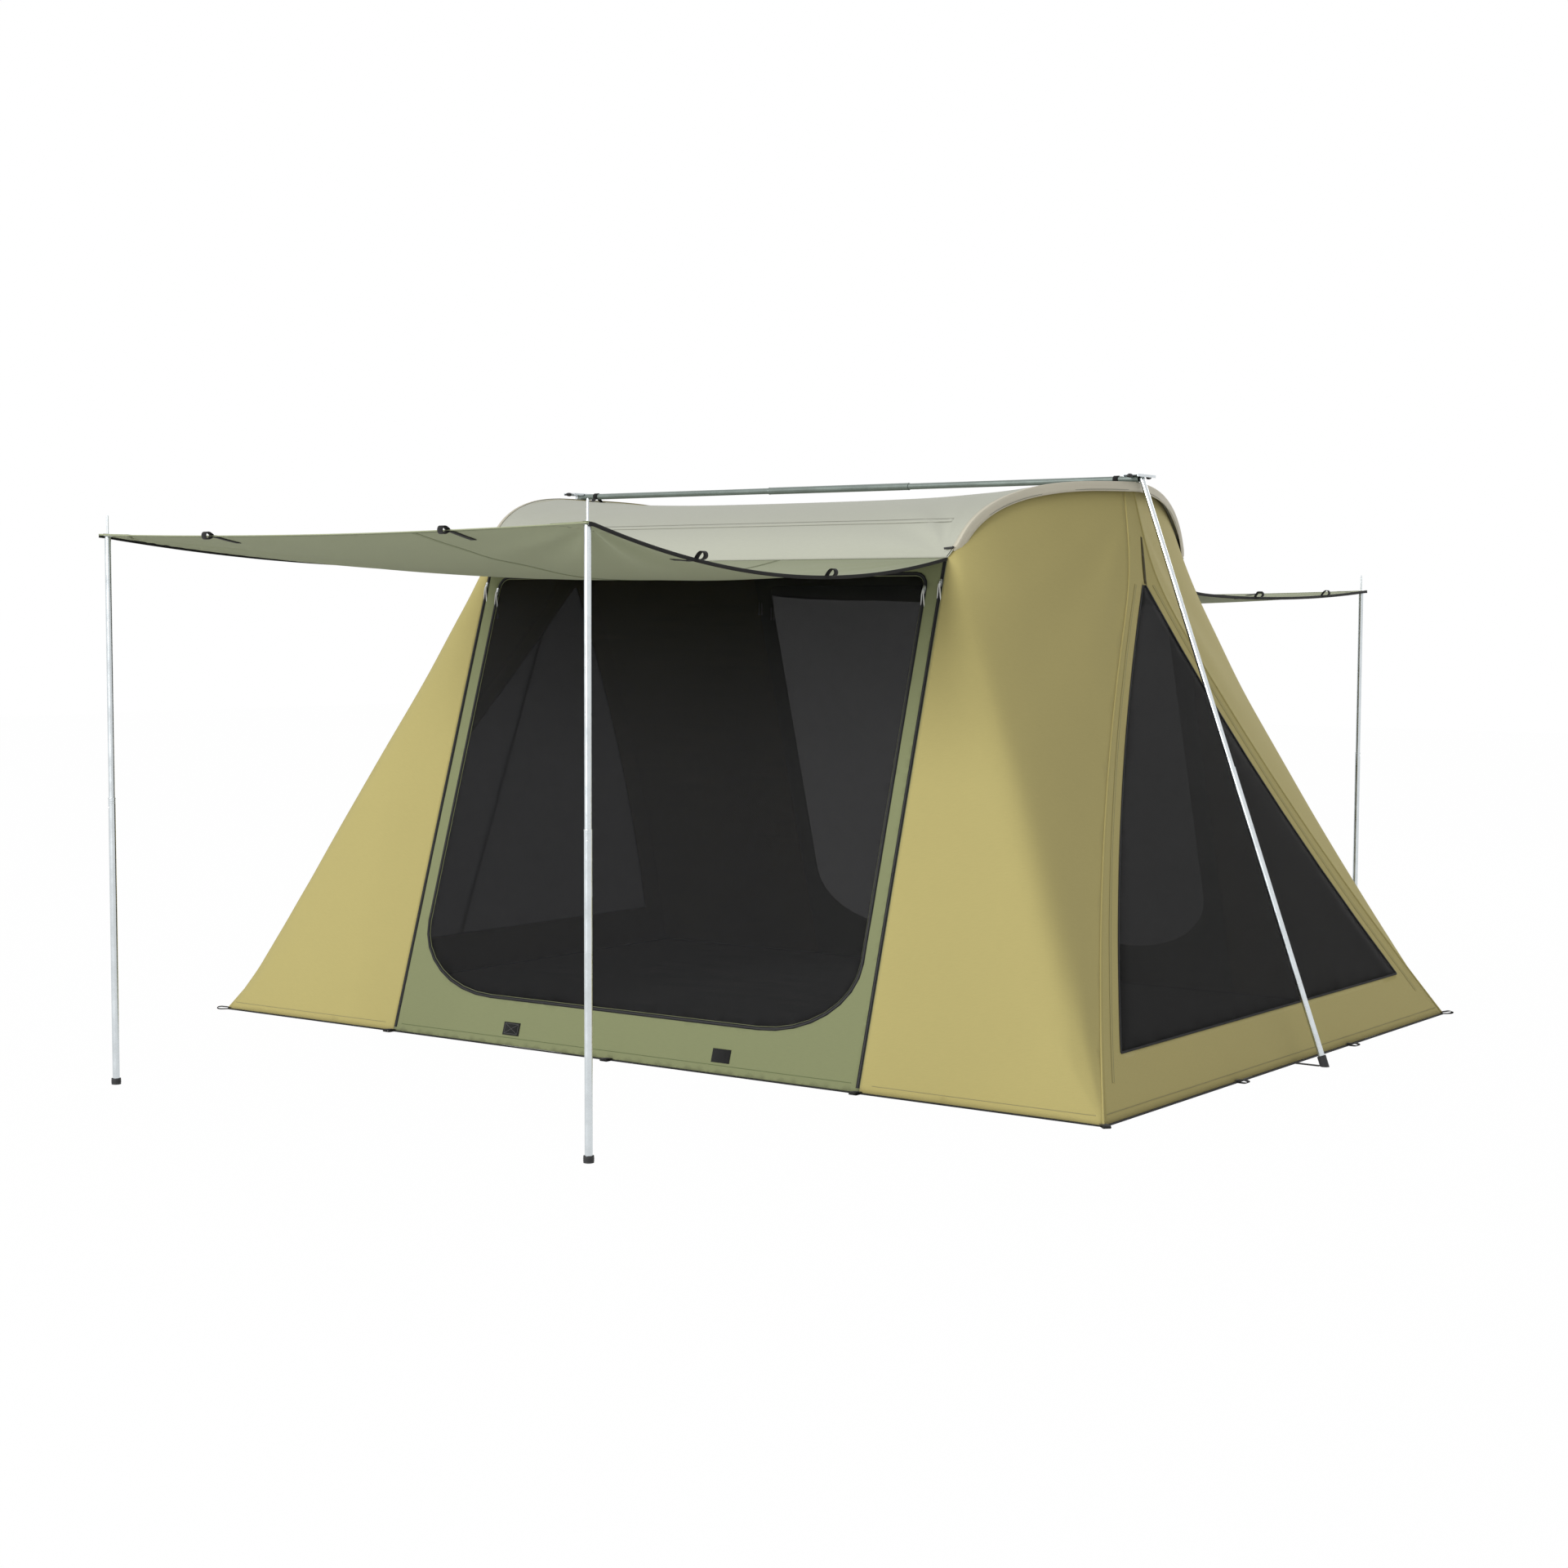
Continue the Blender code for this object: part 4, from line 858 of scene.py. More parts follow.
def toothRow(spots, out, c):
    # built in short runs, because each operator call walks its whole mesh
    whole = bmesh.new()
    spare = bpy.data.meshes.new("run")
    for start in range(0, len(spots), c["batch"]):
        run = bmesh.new()
        for place, along in spots[start:start + c["batch"]]:
            block(run, place, along, out, c["tooth"])
        run.to_mesh(spare)
        run.free()
        whole.from_mesh(spare)
    bpy.data.meshes.remove(spare)
    return whole


def makeTeeth(c):
    for depth, sy in sides:
        foot, _, out, _ = wallFrame(sy)
        lift = out * (c["rest"] + c["tape"])
        for hand, sx in hands:
            low = at(door["seamFoot"] * sx, foot.y, foot.z)
            high = at(door["eave"] * sx, door["eaveOut"] * sy, door["eaveHeight"])
            along = (high - low).normalized()
            inset = at(x=(c["width"] / 2 + c["margin"]) * sx)
            line = evenPoints([low + along * c["end"] - inset, high - along * c["topGap"] - inset], c["pitch"])
            bm = toothRow([(p + lift, along) for p in line], out, c)
            finishPiece(bm, f"{depth}{hand.title()}SeamTeeth", "zipTeeth", smooth=False)
        ring = evenPoints(doorLine(sy, -c["margin"] - c["width"] / 2), c["pitch"], ring=True)
        spots = [(p + lift, ring[(k + 1) % len(ring)] - ring[k - 1]) for k, p in enumerate(ring)]
        finishPiece(toothRow(spots, out, c), depth + "DoorTeeth", "zipTeeth", smooth=False)


makeTeeth(zipSet)
print("zip teeth made")

# sliders with their cord pulls; plates are (level, height) off the tape, sizes are (across, along, out)
slider = {"slope": (0.00699, 0.293678, 0.955879), "nodeLength": 0.11, "length": 0.030, "width": 0.012,
          "plates": ((0.0004, 0.0022), (0.0062, 0.0020)), "nose": 0.55, "shoulder": 0.016, "tail": 0.7,
          "bevel": 0.0006, "post": (0.004, 0.005, 0.0048), "postAlong": 0.024, "postOut": 0.0020,
          "bailAlong": 0.015, "bailRun": 0.006, "bailOut": 0.0078, "bailRise": 0.0042, "bailRadius": 0.0011}
pullCord = {"length": 0.112, "diameter": 0.0044, "points": 18, "part": 0.010, "away": 0.004, "ease": 0.012,
            "sways": (-0.5, 0.8), "spread": 0.0022, "along": 0.010, "out": 0.0105, "knotRadius": 0.0028,
            "knotDrops": (0.006, 0.0105), "knotPitch": 0.004, "knotShare": 0.48}


def sliderBody(bm, place, along, out, c):
    across = along.cross(out)
    half = c["width"] / 2
    nose, tail = half * c["nose"], half * c["tail"]
    corners = [(-nose, 0), (nose, 0), (half, c["shoulder"]), (tail, c["length"]), (-tail, c["length"]),
               (-half, c["shoulder"])]
    for level, high in c["plates"]:
        face = bm.faces.new([bm.verts.new(place + across * a + along * b + out * level) for a, b in corners])
        grown = bmesh.ops.extrude_face_region(bm, geom=[face])["geom"]
        top = [g for g in grown if isinstance(g, bmesh.types.BMVert)]
        bmesh.ops.translate(bm, verts=top, vec=out * high)
        rim = [e for e in bm.edges if all(v in top for v in e.verts)]
        bmesh.ops.bevel(bm, geom=rim, offset=c["bevel"], segments=2, affect="EDGES")
    block(bm, place + along * c["postAlong"] + out * c["postOut"], along, out, c["post"], c["bevel"])
    bail = [place + along * (c["bailAlong"] + c["bailRun"] * math.cos(t))
            + out * (c["bailOut"] + c["bailRise"] * math.sin(t)) for t in (math.pi * k / 12 for k in range(13))]
    tube(bm, bail, c["bailRadius"], 8, along.cross(out))


def pullLine(start, out, sway, c):
    # a limp cord under its own weight: over the tab, then straight down
    points = []
    for k in range(c["points"]):
        t = k / (c["points"] - 1)
        drop = c["length"] * t
        away = c["away"] * (1 - math.exp(-drop / c["ease"]))
        turn = c["part"] * sway * math.sin(0.5 * math.pi * t)
        points.append(start + at(x=turn, z=-drop) + out * away)
    return points


def knotLoop(end, drop, c):
    turns = (2 * math.pi * k / 14 for k in range(15))
    return [end + at(c["knotRadius"] * math.cos(t), c["knotRadius"] * math.sin(t), drop - c["knotPitch"] * t / 6)
            for t in turns]


def makePull(start, out, sway, title, number, body, c):
    line = pullLine(start, out, sway, c)
    cordPiece = joined(tube, [(line, c["diameter"] / 2, 12)], f"{title}Pull{number}", "whiteCord", body)
    loops = [(knotLoop(line[-1], drop, c), c["diameter"] * c["knotShare"], 8) for drop in c["knotDrops"]]
    knotPiece = joined(tube, loops, f"{title}Knot{number}", "whiteCord", body)
    length = sum((b - a).length for a, b in zip(line, line[1:]))
    tuple(line[0])
    [tuple(p) for p in line]


def makeSliders(c, pull):
    slopeX, slopeY, slopeZ = c["slope"]
    for name, depth, sy, kind, hand, sx in [(f"{depth}_{hand}_{kind}_slider", depth, sy, kind, hand, sx)
                                            for depth, sy in sides for kind in ("seam", "door")
                                            for hand, sx in hands]:
        _, _, out, _ = wallFrame(sy)
        low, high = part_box(name)
        along = at(-sx * slopeX, -sy * slopeY, slopeZ)
        middle = (Vector(low) + Vector(high)) / 2
        rest = middle + along * (c["nodeLength"] - c["length"]) / 2 - out * c["width"] / 2
        bm = bmesh.new()
        sliderBody(bm, rest, along, out, c)
        title = f"{depth}{hand.title()}{kind.title()}Slider"
        finishPiece(bm, title, "zincPlate", name, replaced=(name,))
        for number, sway in enumerate(pull["sways"], 1):
            start = rest + along * pull["along"] + out * pull["out"] + at(x=pull["spread"] * (2 * number - 3))
            makePull(start, out, sway, title, number, name, pull)


makeSliders(slider, pullCord)
print("sliders and pulls made")

# the roof's hems over the bow rods, and its seams
hem = {"step": 0.03, "rows": 5, "drop": 0.036, "fold": 0.014, "proud": 0.0016, "foldLift": 0.0004, "bow": 0.002,
       "wave": 0.0022, "waves": 9, "phase": 0.6, "thread": (0.0022, 0.0007), "threadOut": 0.0022,
       "threadDown": 0.82}
roofSeam = {"height": 2.062, "startY": 1.3, "reach": 1.10, "width": 0.016, "thick": 0.0009, "lift": 0.0007,
            "rails": (-0.0072, 0.0068), "thread": (0.0026, 0.0007), "threadLift": 0.0013}


def archUp(item):
    place, along, out = item
    up = along.cross(out)
    return up if up.dot(place - at(x=place.x, z=roof["heartZ"])) > 0 else -up


def makeHems(c):
    made = []
    for hand, sx in hands:
        outward = at(x=sx)
        line = evenPoints(roofEdges[sx], c["step"])
        frames = framesOf(line, outward)
        bm = bmesh.new()
        bmesh.ops.create_grid(bm, x_segments=len(line) - 1, y_segments=c["rows"], size=1.0)
        for v in bm.verts:
            k = round((v.co.x + 1) / 2 * (len(line) - 1))
            row = round((v.co.y + 1) / 2 * c["rows"])
            place, _, out = frames[k]
            up = archUp(frames[k])
            if row < 2:
                v.co = place + up * (c["proud"] + c["foldLift"]) - outward * (0.0 if row else c["fold"])
            else:
                down = (row - 2) / (c["rows"] - 2)
                ripple = c["wave"] * math.sin(c["waves"] * math.pi * k / len(line) + c["phase"]) * down
                v.co = place + out * (c["proud"] + ripple + c["bow"] * down) - up * (c["drop"] * down)
        hemPiece = finishPiece(bm, f"{hand}RoofHem", "hemCream")
        thicken(hemPiece)
        low = [item[0] + item[2] * (c["proud"] + c["threadOut"]) - archUp(item) * (c["drop"] * c["threadDown"])
               for item in frames[1:-1]]
        made += [hemPiece, joined(strap, [(low, outward, *c["thread"])], f"{hand}RoofHemStitch", "roofThread")]
    return made


def makeRoofSeams(c):
    made = []
    for depth, sy in sides:
        aim = (0, -sy, 0)
        y = c["startY"] * sy
        line = between((-c["reach"], y, c["height"]), (c["reach"], y, c["height"]), 60)
        seam = (*cling("roof", line, aim, c["lift"]), c["width"], c["thick"])
        rails = [(*cling("roof", [p + at(z=shift) for p in line], aim, c["threadLift"]), *c["thread"])
                 for shift in c["rails"]]
        made.append(joined(strap, [seam], f"{depth}RoofSeam", "roofCanvas"))
        made.append(joined(strap, rails, f"{depth}RoofStitch", "roofThread"))
    return made


roofTrim = makeHems(hem) + makeRoofSeams(roofSeam)
print("roof trim made")

# stitched seams and bindings on the walls; flat and thread are (width, thickness, lift)
seamSet = {"flat": (0.014, 0.0009, 0.0007), "thread": (0.0024, 0.0006, 0.0008),
           "endThread": (0.0024, 0.0006, 0.0014), "rails": (-0.0062, 0.0062), "binding": (0.008, 0.0012),
           "bindingOut": 0.0016, "corner": 0.0045, "hemHeight": 0.032, "endHem": 1.48, "wingHem": (1.20, 2.12),
           "wallHem": 1.11, "wallHemUp": 0.03, "clear": 0.3, "startOut": 2.35, "startLean": 0.36,
           "wingStartY": 2.0, "step": 0.03}
window = {"apex": (0.012, 1.83), "foot": (1.235, 0.20), "offset": 0.062}


def seamOn(name, lines, skin, aim, finish, size):
    width, thick, lift = size
    found = [cling(skin, line, aim, lift) for line in lines]
    return joined(strap, [(*run, width, thick) for run in found if len(run[0]) > 2], name, finish)


def splitCorners(loop):
    # a closed loop cut into runs at its sharp corners
    count = len(loop)
    spans = [(loop[(k + 1) % count] - loop[k]).normalized() for k in range(count)]
    sharp = [k for k in range(count) if spans[k - 1].dot(spans[k]) < 0.8]
    if not sharp:
        return [loop + [loop[0]]]
    runs = []
    for n, k in enumerate(sharp):
        end = sharp[(n + 1) % len(sharp)]
        end = end if end > k else end + count
        runs.append([loop[m % count] for m in range(k, end + 1)])
    return runs


def makeEndSeams(c):
    for hand, sx in hands:
        skin, aim = f"{hand}_end_wall", (-sx, 0, 0)

        def faced(y, z):
            return at((c["startOut"] - c["startLean"] * z) * sx, y, z)

        (apexY, apexZ), (footY, footZ) = window["apex"], window["foot"]
        run = [(apexY + window["offset"] + (footY - apexY) * k / 40, apexZ + (footZ - apexZ) * k / 40)
               for k in range(43)]
        lines = [[faced(y * sy, z) for y, z in run] for _, sy in sides]
        threads = [[faced((y + shift) * sy, z) for y, z in run] for _, sy in sides for shift in c["rails"]]
        threads.append(between(faced(-c["endHem"], c["hemHeight"]), faced(c["endHem"], c["hemHeight"]), 61))
        seamOn(f"{hand}EndSeam", lines, skin, aim, "tanCanvas", c["flat"])
        seamOn(f"{hand}EndStitch", threads, skin, aim, "seamThread", c["endThread"])
        bound = [([p + at(x=c["bindingOut"] * sx) for p in run], at(x=sx, z=0.3), *c["binding"])
                 for run in splitCorners(max(rims[f"{hand}_window"], key=len)) if len(run) > 2]
        joined(strap, bound, f"{hand}WindowBinding", "blackTape")


def makeSideSeams(c):
    for depth, sy in sides:
        for hand, sx in hands:
            name, title = f"{depth}_{hand}_wing", depth + hand.title()
            inner, outer = c["wingHem"]
            y = c["wingStartY"] * sy
            hemLine = between((inner * sx, y, c["hemHeight"]), (outer * sx, y, c["hemHeight"]), 40)
            seamOn(title + "WingStitch", [hemLine], name, (0, -sy, 0), "seamThread", c["thread"])
            corner = [run for loop in rims[name] for run in splitCorners(loop)
                      if len(run) > 8 and all(abs(p.x) > 1.3 for p in run) and (run[0] - run[-1]).z ** 2 > 1]
            joined(tube, [(evenPoints(run, c["step"]), c["corner"], 8) for run in corner], title + "CornerSeam",
                   "tanCanvas")
        foot, up, out, _ = wallFrame(sy)
        middle = foot + up * c["wallHemUp"] + out * c["clear"]
        line = between(middle - at(x=c["wallHem"]), middle + at(x=c["wallHem"]), 41)
        seamOn(depth + "WallStitch", [line], depth + "_wall", -out, "greenThread", c["thread"])


# painted shade: the deep pleat above each window is shown by a strip of near black cloth that stands in for the
# fold's shadow, tapering to both ends
pleatShadeStrip = {"low": (0.012, 1.834), "high": (0.042, 2.020), "width": 0.022, "thick": 0.0012, "lift": 0.0006,
             "startOut": 2.4, "ends": 0.30, "swell": 0.70, "peak": (0.30, 0.62)}


def makePleatShadeStrips(c):
    for hand, sx in hands:
        x = sx * c["startOut"]
        line = between((x, *c["low"]), (x, *c["high"]), 30)
        found, outs = cling(f"{hand}_end_wall", line, (-sx, 0, 0), c["lift"])
        bm = bmesh.new()
        strap(bm, found, outs, c["width"], c["thick"])
        for v in bm.verts:
            share = min(max((v.co.z - found[0].z) / (found[-1].z - found[0].z), 0), 1)
            middle = c["low"][0] + (c["high"][0] - c["low"][0]) * share
            taper = c["ends"] + c["swell"] * math.sin(math.pi * (c["peak"][0] + c["peak"][1] * share))
            v.co.y = middle + (v.co.y - middle) * taper
        # the strip's dark colour is painted shade, not a cloth of its own
        finishPiece(bm, f"{hand}NeckShadeStrip", "paintedPleatShade")


makeEndSeams(seamSet)
makeSideSeams(seamSet)
makePleatShadeStrips(pleatShadeStrip)
print("wall seams made")

# black pads at the foot of the front and back walls, each sewn down round its border and corner to corner
pad = {"places": (-0.52, 0.52), "up": 0.066, "width": 0.084, "tall": 0.052, "thick": 0.0026, "lift": 0.0007,
       "clear": 0.3, "inset": (0.40, 0.38), "thread": (0.0016, 0.0005), "threadLift": 0.0012}


def makePads(c):
    for depth, sy in sides:
        foot, up, out, _ = wallFrame(sy)
        for number, x in enumerate(c["places"], 1):
            heart = foot + at(x=x) + up * c["up"]
            low = heart - up * c["tall"] / 2 + out * c["clear"]
            face = (*cling(depth + "_wall", between(low, low + up * c["tall"], 7), -out, c["lift"]),
                    c["width"], c["thick"])
            joined(strap, [face], f"{depth}Pad{number}", "blackTape")
            wide, tall = c["width"] * c["inset"][0], c["tall"] * c["inset"][1]
            heart += out * (c["thick"] + c["threadLift"])
            corners = [heart + at(x=a * wide) + up * b * tall for a, b in ((-1, -1), (1, -1), (1, 1), (-1, 1))]
            pairs = [(corners[a], corners[b]) for a, b in ((0, 1), (1, 2), (2, 3), (3, 0), (0, 2), (1, 3))]
            joined(strap, [([a, a.lerp(b, 0.5), b], out, *c["thread"]) for a, b in pairs],
                   f"{depth}PadStitch{number}", "greyThread")


makePads(pad)
print("pads made")

# hems, tapes, tabs and patches of the awnings; u and y as in awningPlace
trim = {"hem": 0.028, "hemThick": 0.0034, "hemSpan": 0.995, "stitchSpan": 0.99, "tape": (0.013, 0.0026),
        "tapeDrop": 0.0045, "tapeU": 0.9995, "seamX": 0.38, "seamEnds": (0.02, 0.03), "rails": (-0.0062, 0.0062),
        "seam": (0.014, 0.0010), "seamLift": 0.0006, "thread": (0.0022, 0.0005), "threadLift": 0.0014,
        "webbing": (0.025, 0.0016), "tabRun": 0.115, "tabs": (-0.55, 0.55), "tabLift": {True: 0.0019, False: 0.0022},
        "tabLoop": 0.034, "sideTabs": (1.52, 0.78), "sideRun": 0.10, "sideLift": 0.0010, "sideLoop": 0.040,
        "patch": 0.17, "patchLift": 0.0021, "patchThick": 0.0011, "dropFrom": 2.0,
        "tapeEnds": (0.004, 0.002), "hemOut": 0.002, "stitchIn": 0.004, "tabIn": 0.012, "loopIn": 0.004,
        "loopRise": 0.011, "tieU": 0.998, "patchHalf": 1.13}
grommet = {"x": 1.115, "aside": 1.10, "back": 0.03, "level": 0.0026,
           "profile": ((0.0088, 0.0), (0.0095, 0.0012), (0.0125, 0.0017), (0.0160, 0.0009), (0.0166, 0.0))}


def awningLine(depth, sy, start, end, count, lift=0.0):
    # points on an awning from one (u, y) to another
    steps = [k / (count - 1) for k in range(count)]
    pairs = [(start[0] + (end[0] - start[0]) * t, start[1] + (end[1] - start[1]) * t) for t in steps]
    return [awningPlace(depth, sy, u, y) + at(z=lift) for u, y in pairs]


def faceRun(depth, points, above, lift, size):
    # a strap on the upper or the under face of an awning
    return (*cling(depth + "_awning", points, -sky if above else sky, lift), *size)


def looseLoop(start, away, up, length, size):
    # a webbing loop that stands off an edge, its two ends sewn together
    turns = [2 * math.pi * k / 22 for k in range(23)]
    points = [start + away * (length * 0.5 * (1 - math.cos(t)))
              + up * (trim["loopRise"] * math.sin(t) * (1 - 0.5 * math.cos(t))) for t in turns]
    heart = start + away * length * 0.5
    return points, [(p - heart).normalized() for p in points], *size


def onAwning(shape, runs, depth, label, finish):
    return joined(shape, runs, depth + label, finish, depth + "_awning")


def awningEdges(c, depth, sy):
    near, far = c["tapeEnds"][0], awning["reach"] - c["tapeEnds"][1]
    made = []
    for hand, sx in hands:
        u = sx * c["tapeU"]
        edge = awningLine(depth, sy, (u, near), (u, far), 80, -c["tapeDrop"])
        made.append(onAwning(strap, [(edge, at(x=sx), *c["tape"])], depth, hand.title() + "AwningTape", "blackTape"))
    y = awning["reach"] - c["hem"] / 2 + c["hemOut"]
    front = awningLine(depth, sy, (-c["hemSpan"], y), (c["hemSpan"], y), 61, -c["hemThick"] / 2)
    made.append(onAwning(strap, [(front, sky, c["hem"], c["hemThick"])], depth, "AwningHem", "awningCanvas"))
    return made


def awningSeams(c, depth, sy):
    y = awning["reach"] - c["hem"] + c["stitchIn"]
    threads = []
    for lift in (c["hemThick"] / 2, -c["hemThick"] / 2 - c["thread"][1]):
        inner = awningLine(depth, sy, (-c["stitchSpan"], y), (c["stitchSpan"], y), 61, lift)
        threads.append((inner, sky, *c["thread"]))

    def seamLine(shift):
        near, far = awning["start"] + c["seamEnds"][0], awning["start"] + awning["reach"] - c["seamEnds"][1]
        x = c["seamX"] + shift
        return between((x, near * sy, c["dropFrom"]), (x, far * sy, c["dropFrom"]), 51)

    for shift in c["rails"]:
        for above in (True, False):
            threads.append(faceRun(depth, seamLine(shift), above, c["threadLift"], c["thread"]))
    seam = faceRun(depth, seamLine(0.0), False, c["seamLift"], c["seam"])
    return [onAwning(strap, threads, depth, "AwningStitch", "greenThread"),
            onAwning(strap, [seam], depth, "AwningSeam", "awningCanvas")]


def awningTabs(c, depth, sy):
    runs = []
    y = (awning["start"] + awning["reach"] - c["tabIn"]) * sy
    for x in c["tabs"]:
        line = between((x, y, c["dropFrom"]), (x, y - c["tabRun"] * sy, c["dropFrom"]), 13)
        for above in (True, False):
            runs.append(faceRun(depth, line, above, c["tabLift"][above], c["webbing"]))
        tip = awningPlace(depth, sy, x / awning["halfIn"], awning["reach"])
        runs.append(looseLoop(tip - at(y=c["loopIn"] * sy), at(y=sy), sky, c["tabLoop"], c["webbing"]))
    return onAwning(strap, runs, depth, "AwningTabs", "blackTape")


def awningTies(c, depth, sy, hand, sx):
    runs = []
    for y in c["sideTabs"]:
        root = awningPlace(depth, sy, sx * c["tieU"], y)
        over = at(root.x, root.y, c["dropFrom"])
        line = between(over - at(x=sx * c["sideRun"]), over, 13)
        runs.append(faceRun(depth, line, False, c["sideLift"], c["webbing"]))
        away, up = at(x=sx, z=0.5).normalized(), at(x=-0.5 * sx, z=1).normalized()
        runs.append(looseLoop(root, away, up, c["sideLoop"], c["webbing"]))
    return onAwning(strap, runs, depth, hand.title() + "AwningTies", "blackTape")


def awningPatch(c, depth, sy, hand, sx, above):
    # a triangle of cloth in the outer corner
    bm = bmesh.new()
    bmesh.ops.create_grid(bm, x_segments=10, y_segments=10, size=1.0)
    spare = [v for v in bm.verts if v.co.x + v.co.y < -0.001]
    bmesh.ops.delete(bm, geom=spare, context="VERTS")
    for v in bm.verts:
        a, b = (1 - v.co.x) / 2, (1 - v.co.y) / 2
        v.co = awningPlace(depth, sy, sx * (1 - a * c["patch"] / c["patchHalf"]), awning["reach"] - b * c["patch"])
        v.co.z += c["patchLift"] if above else -c["patchLift"]
    title = f"{depth}{hand.title()}Patch{'Top' if above else 'Under'}"
    patch = finishPiece(bm, title, "awningCanvas", depth + "_awning")
    thicken(patch, c["patchThick"])
    return patch


def awningGrommet(c, depth, sy, hand, sx):
    place = awningPlace(depth, sy, sx * c["x"] / awning["halfOut"], awning["span"])
    near = awningPlace(depth, sy, sx * c["x"] / awning["halfOut"], awning["span"] - c["back"])
    side = awningPlace(depth, sy, sx * c["aside"] / awning["halfOut"], awning["span"])
    up = (near - place).cross(side - place).normalized()
    up = up if up.z > 0 else -up
    rings = [([(r, flip * (c["level"] + h)) for r, h in c["profile"]], place, up) for flip in (1, -1)]
    return onAwning(lathe, rings, depth, hand.title() + "Grommet", "zincPlate")


def makeAwningTrim(c, ring):
    for depth, sy in sides:
        made = awningEdges(c, depth, sy) + awningSeams(c, depth, sy) + [awningTabs(c, depth, sy)]
        for hand, sx in hands:
            made.append(awningTies(c, depth, sy, hand, sx))
            made += [awningPatch(c, depth, sy, hand, sx, above) for above in (True, False)]
            made.append(awningGrommet(ring, depth, sy, hand, sx))


makeAwningTrim(trim, grommet)
print("awning trim made")

# the groundsheet, its edge strip and its peg loops
ground = {"size": (4.27, 3.05), "level": 0.0026, "swell": 0.0016, "columns": 84, "rows": 60, "thick": 0.0008,
          "strip": (0.030, 0.0030), "stripOut": 0.012, "stripLevel": 0.0008, "sideLoops": (-1.15, 0.0, 1.15),
          "endLoops": (-0.5083, 0.5083), "loop": (0.025, 0.0016), "loopRun": 0.052, "loopHigh": 0.0095,
          "loopRest": 0.0022, "loopIn": -0.03, "loopArc": (0.62, 0.38), "loopBack": 0.004, "loopHeart": (0.02, 0.006)}


def pegLoop(place, away, c):
    # a flat loop whose two ends lie one on the other under the sheet
    base, bulge = c["loopArc"]
    points = []
    for k in range(25):
        t = math.pi * (k / 24 - 0.5)
        sewn = k in (0, 24)
        run = c["loopIn"] if sewn else c["loopRun"] * (base + bulge * math.cos(t)) - c["loopBack"]
        arch = 0.0 if sewn else c["loopHigh"] * 0.5 * (1 + math.sin(t))
        points.append(place + away * run + at(z=c["loopRest"] * (2 if k == 24 else 1) + arch))
    heart = place + away * c["loopHeart"][0] + at(z=c["loopHeart"][1])
    return points, [(p - heart).normalized() for p in points], *c["loop"]


def makeGround(c):
    bm = bmesh.new()
    bmesh.ops.create_grid(bm, x_segments=c["columns"], y_segments=c["rows"], size=0.5)
    bmesh.ops.scale(bm, verts=bm.verts, vec=(*c["size"], 1))
    for v in bm.verts:
        wave = noise.noise(v.co * 1.3) + 0.5 * noise.noise(v.co * 4.0 + at(7, 2, 1))
        v.co.z = c["level"] + c["swell"] * wave
    made = plainPiece(bm, "groundCloth")
    layPattern(made)
    thicken(made, c["thick"])
    dress(made, "floorCloth", "tent", replaced=("groundsheet",))
    halfX, halfY = c["size"][0] / 2, c["size"][1] / 2
    inset = c["strip"][0] / 2 - c["stripOut"]
    corners = [at((halfX - inset) * a, (halfY - inset) * b, c["stripLevel"])
               for a, b in ((-1, -1), (1, -1), (1, 1), (-1, 1))]
    edges = [(between(a, b, 40), sky, *c["strip"]) for a, b in zip(corners, corners[1:] + corners[:1])]
    strip = joined(strap, edges, "groundStrip", "blackTape")
    spots = [(at(x, halfY * sy), at(y=sy)) for x in c["sideLoops"] for _, sy in sides]
    spots += [(at(halfX * sx, y), at(x=sx)) for y in c["endLoops"] for _, sx in hands]
    spots += [(at(halfX * sx, halfY * sy), at(sx, sy).normalized()) for _, sx in hands for _, sy in sides]
    loops = joined(strap, [pegLoop(place, away, c) for place, away in spots], "pegLoops", "blackTape")


makeGround(ground)
print("groundsheet made")

# collars, buttons and foot ribs of the poles; profiles are (radius, height)
poleSet = {"joint": 1.04, "collar": 0.0127, "grooves": (0.012, 0.018), "buttonDown": 0.035, "buttonAside": 0.5,
           "dome": ((0.0, 0.0034), (0.0014, 0.0032), (0.0026, 0.0022), (0.0031, 0.0), (0.0036, -0.0004),
                    (0.0040, -0.0015)),
           "bead": ((-0.0004, -0.004), (0.0010, -0.0032), (0.0014, -0.0016), (0.0010, 0.0), (-0.0016, 0.0006)),
           "groove": ((-0.0003, -0.001), (0.0006, 0.0), (-0.0003, 0.001)), "ribs": (0.008, 0.014),
           "rib": ((0.0166, -0.0016), (0.0178, -0.0006), (0.0178, 0.0006), (0.0166, 0.0016)),
           "endHead": (1.447, 2.2462), "endFoot": 2.26, "endJoint": 0.5}


def makeCollar(c, top, down, name, body):
    # a bead round the tube's mouth with two grooves below it
    def about(profile):
        return [(c["collar"] + r, h) for r, h in profile]

    rings = [(about(c["bead"]), top, -down)]
    rings += [(about(c["groove"]), top + down * level, -down) for level in c["grooves"]]
    joined(lathe, rings, name, "steelTube", body)


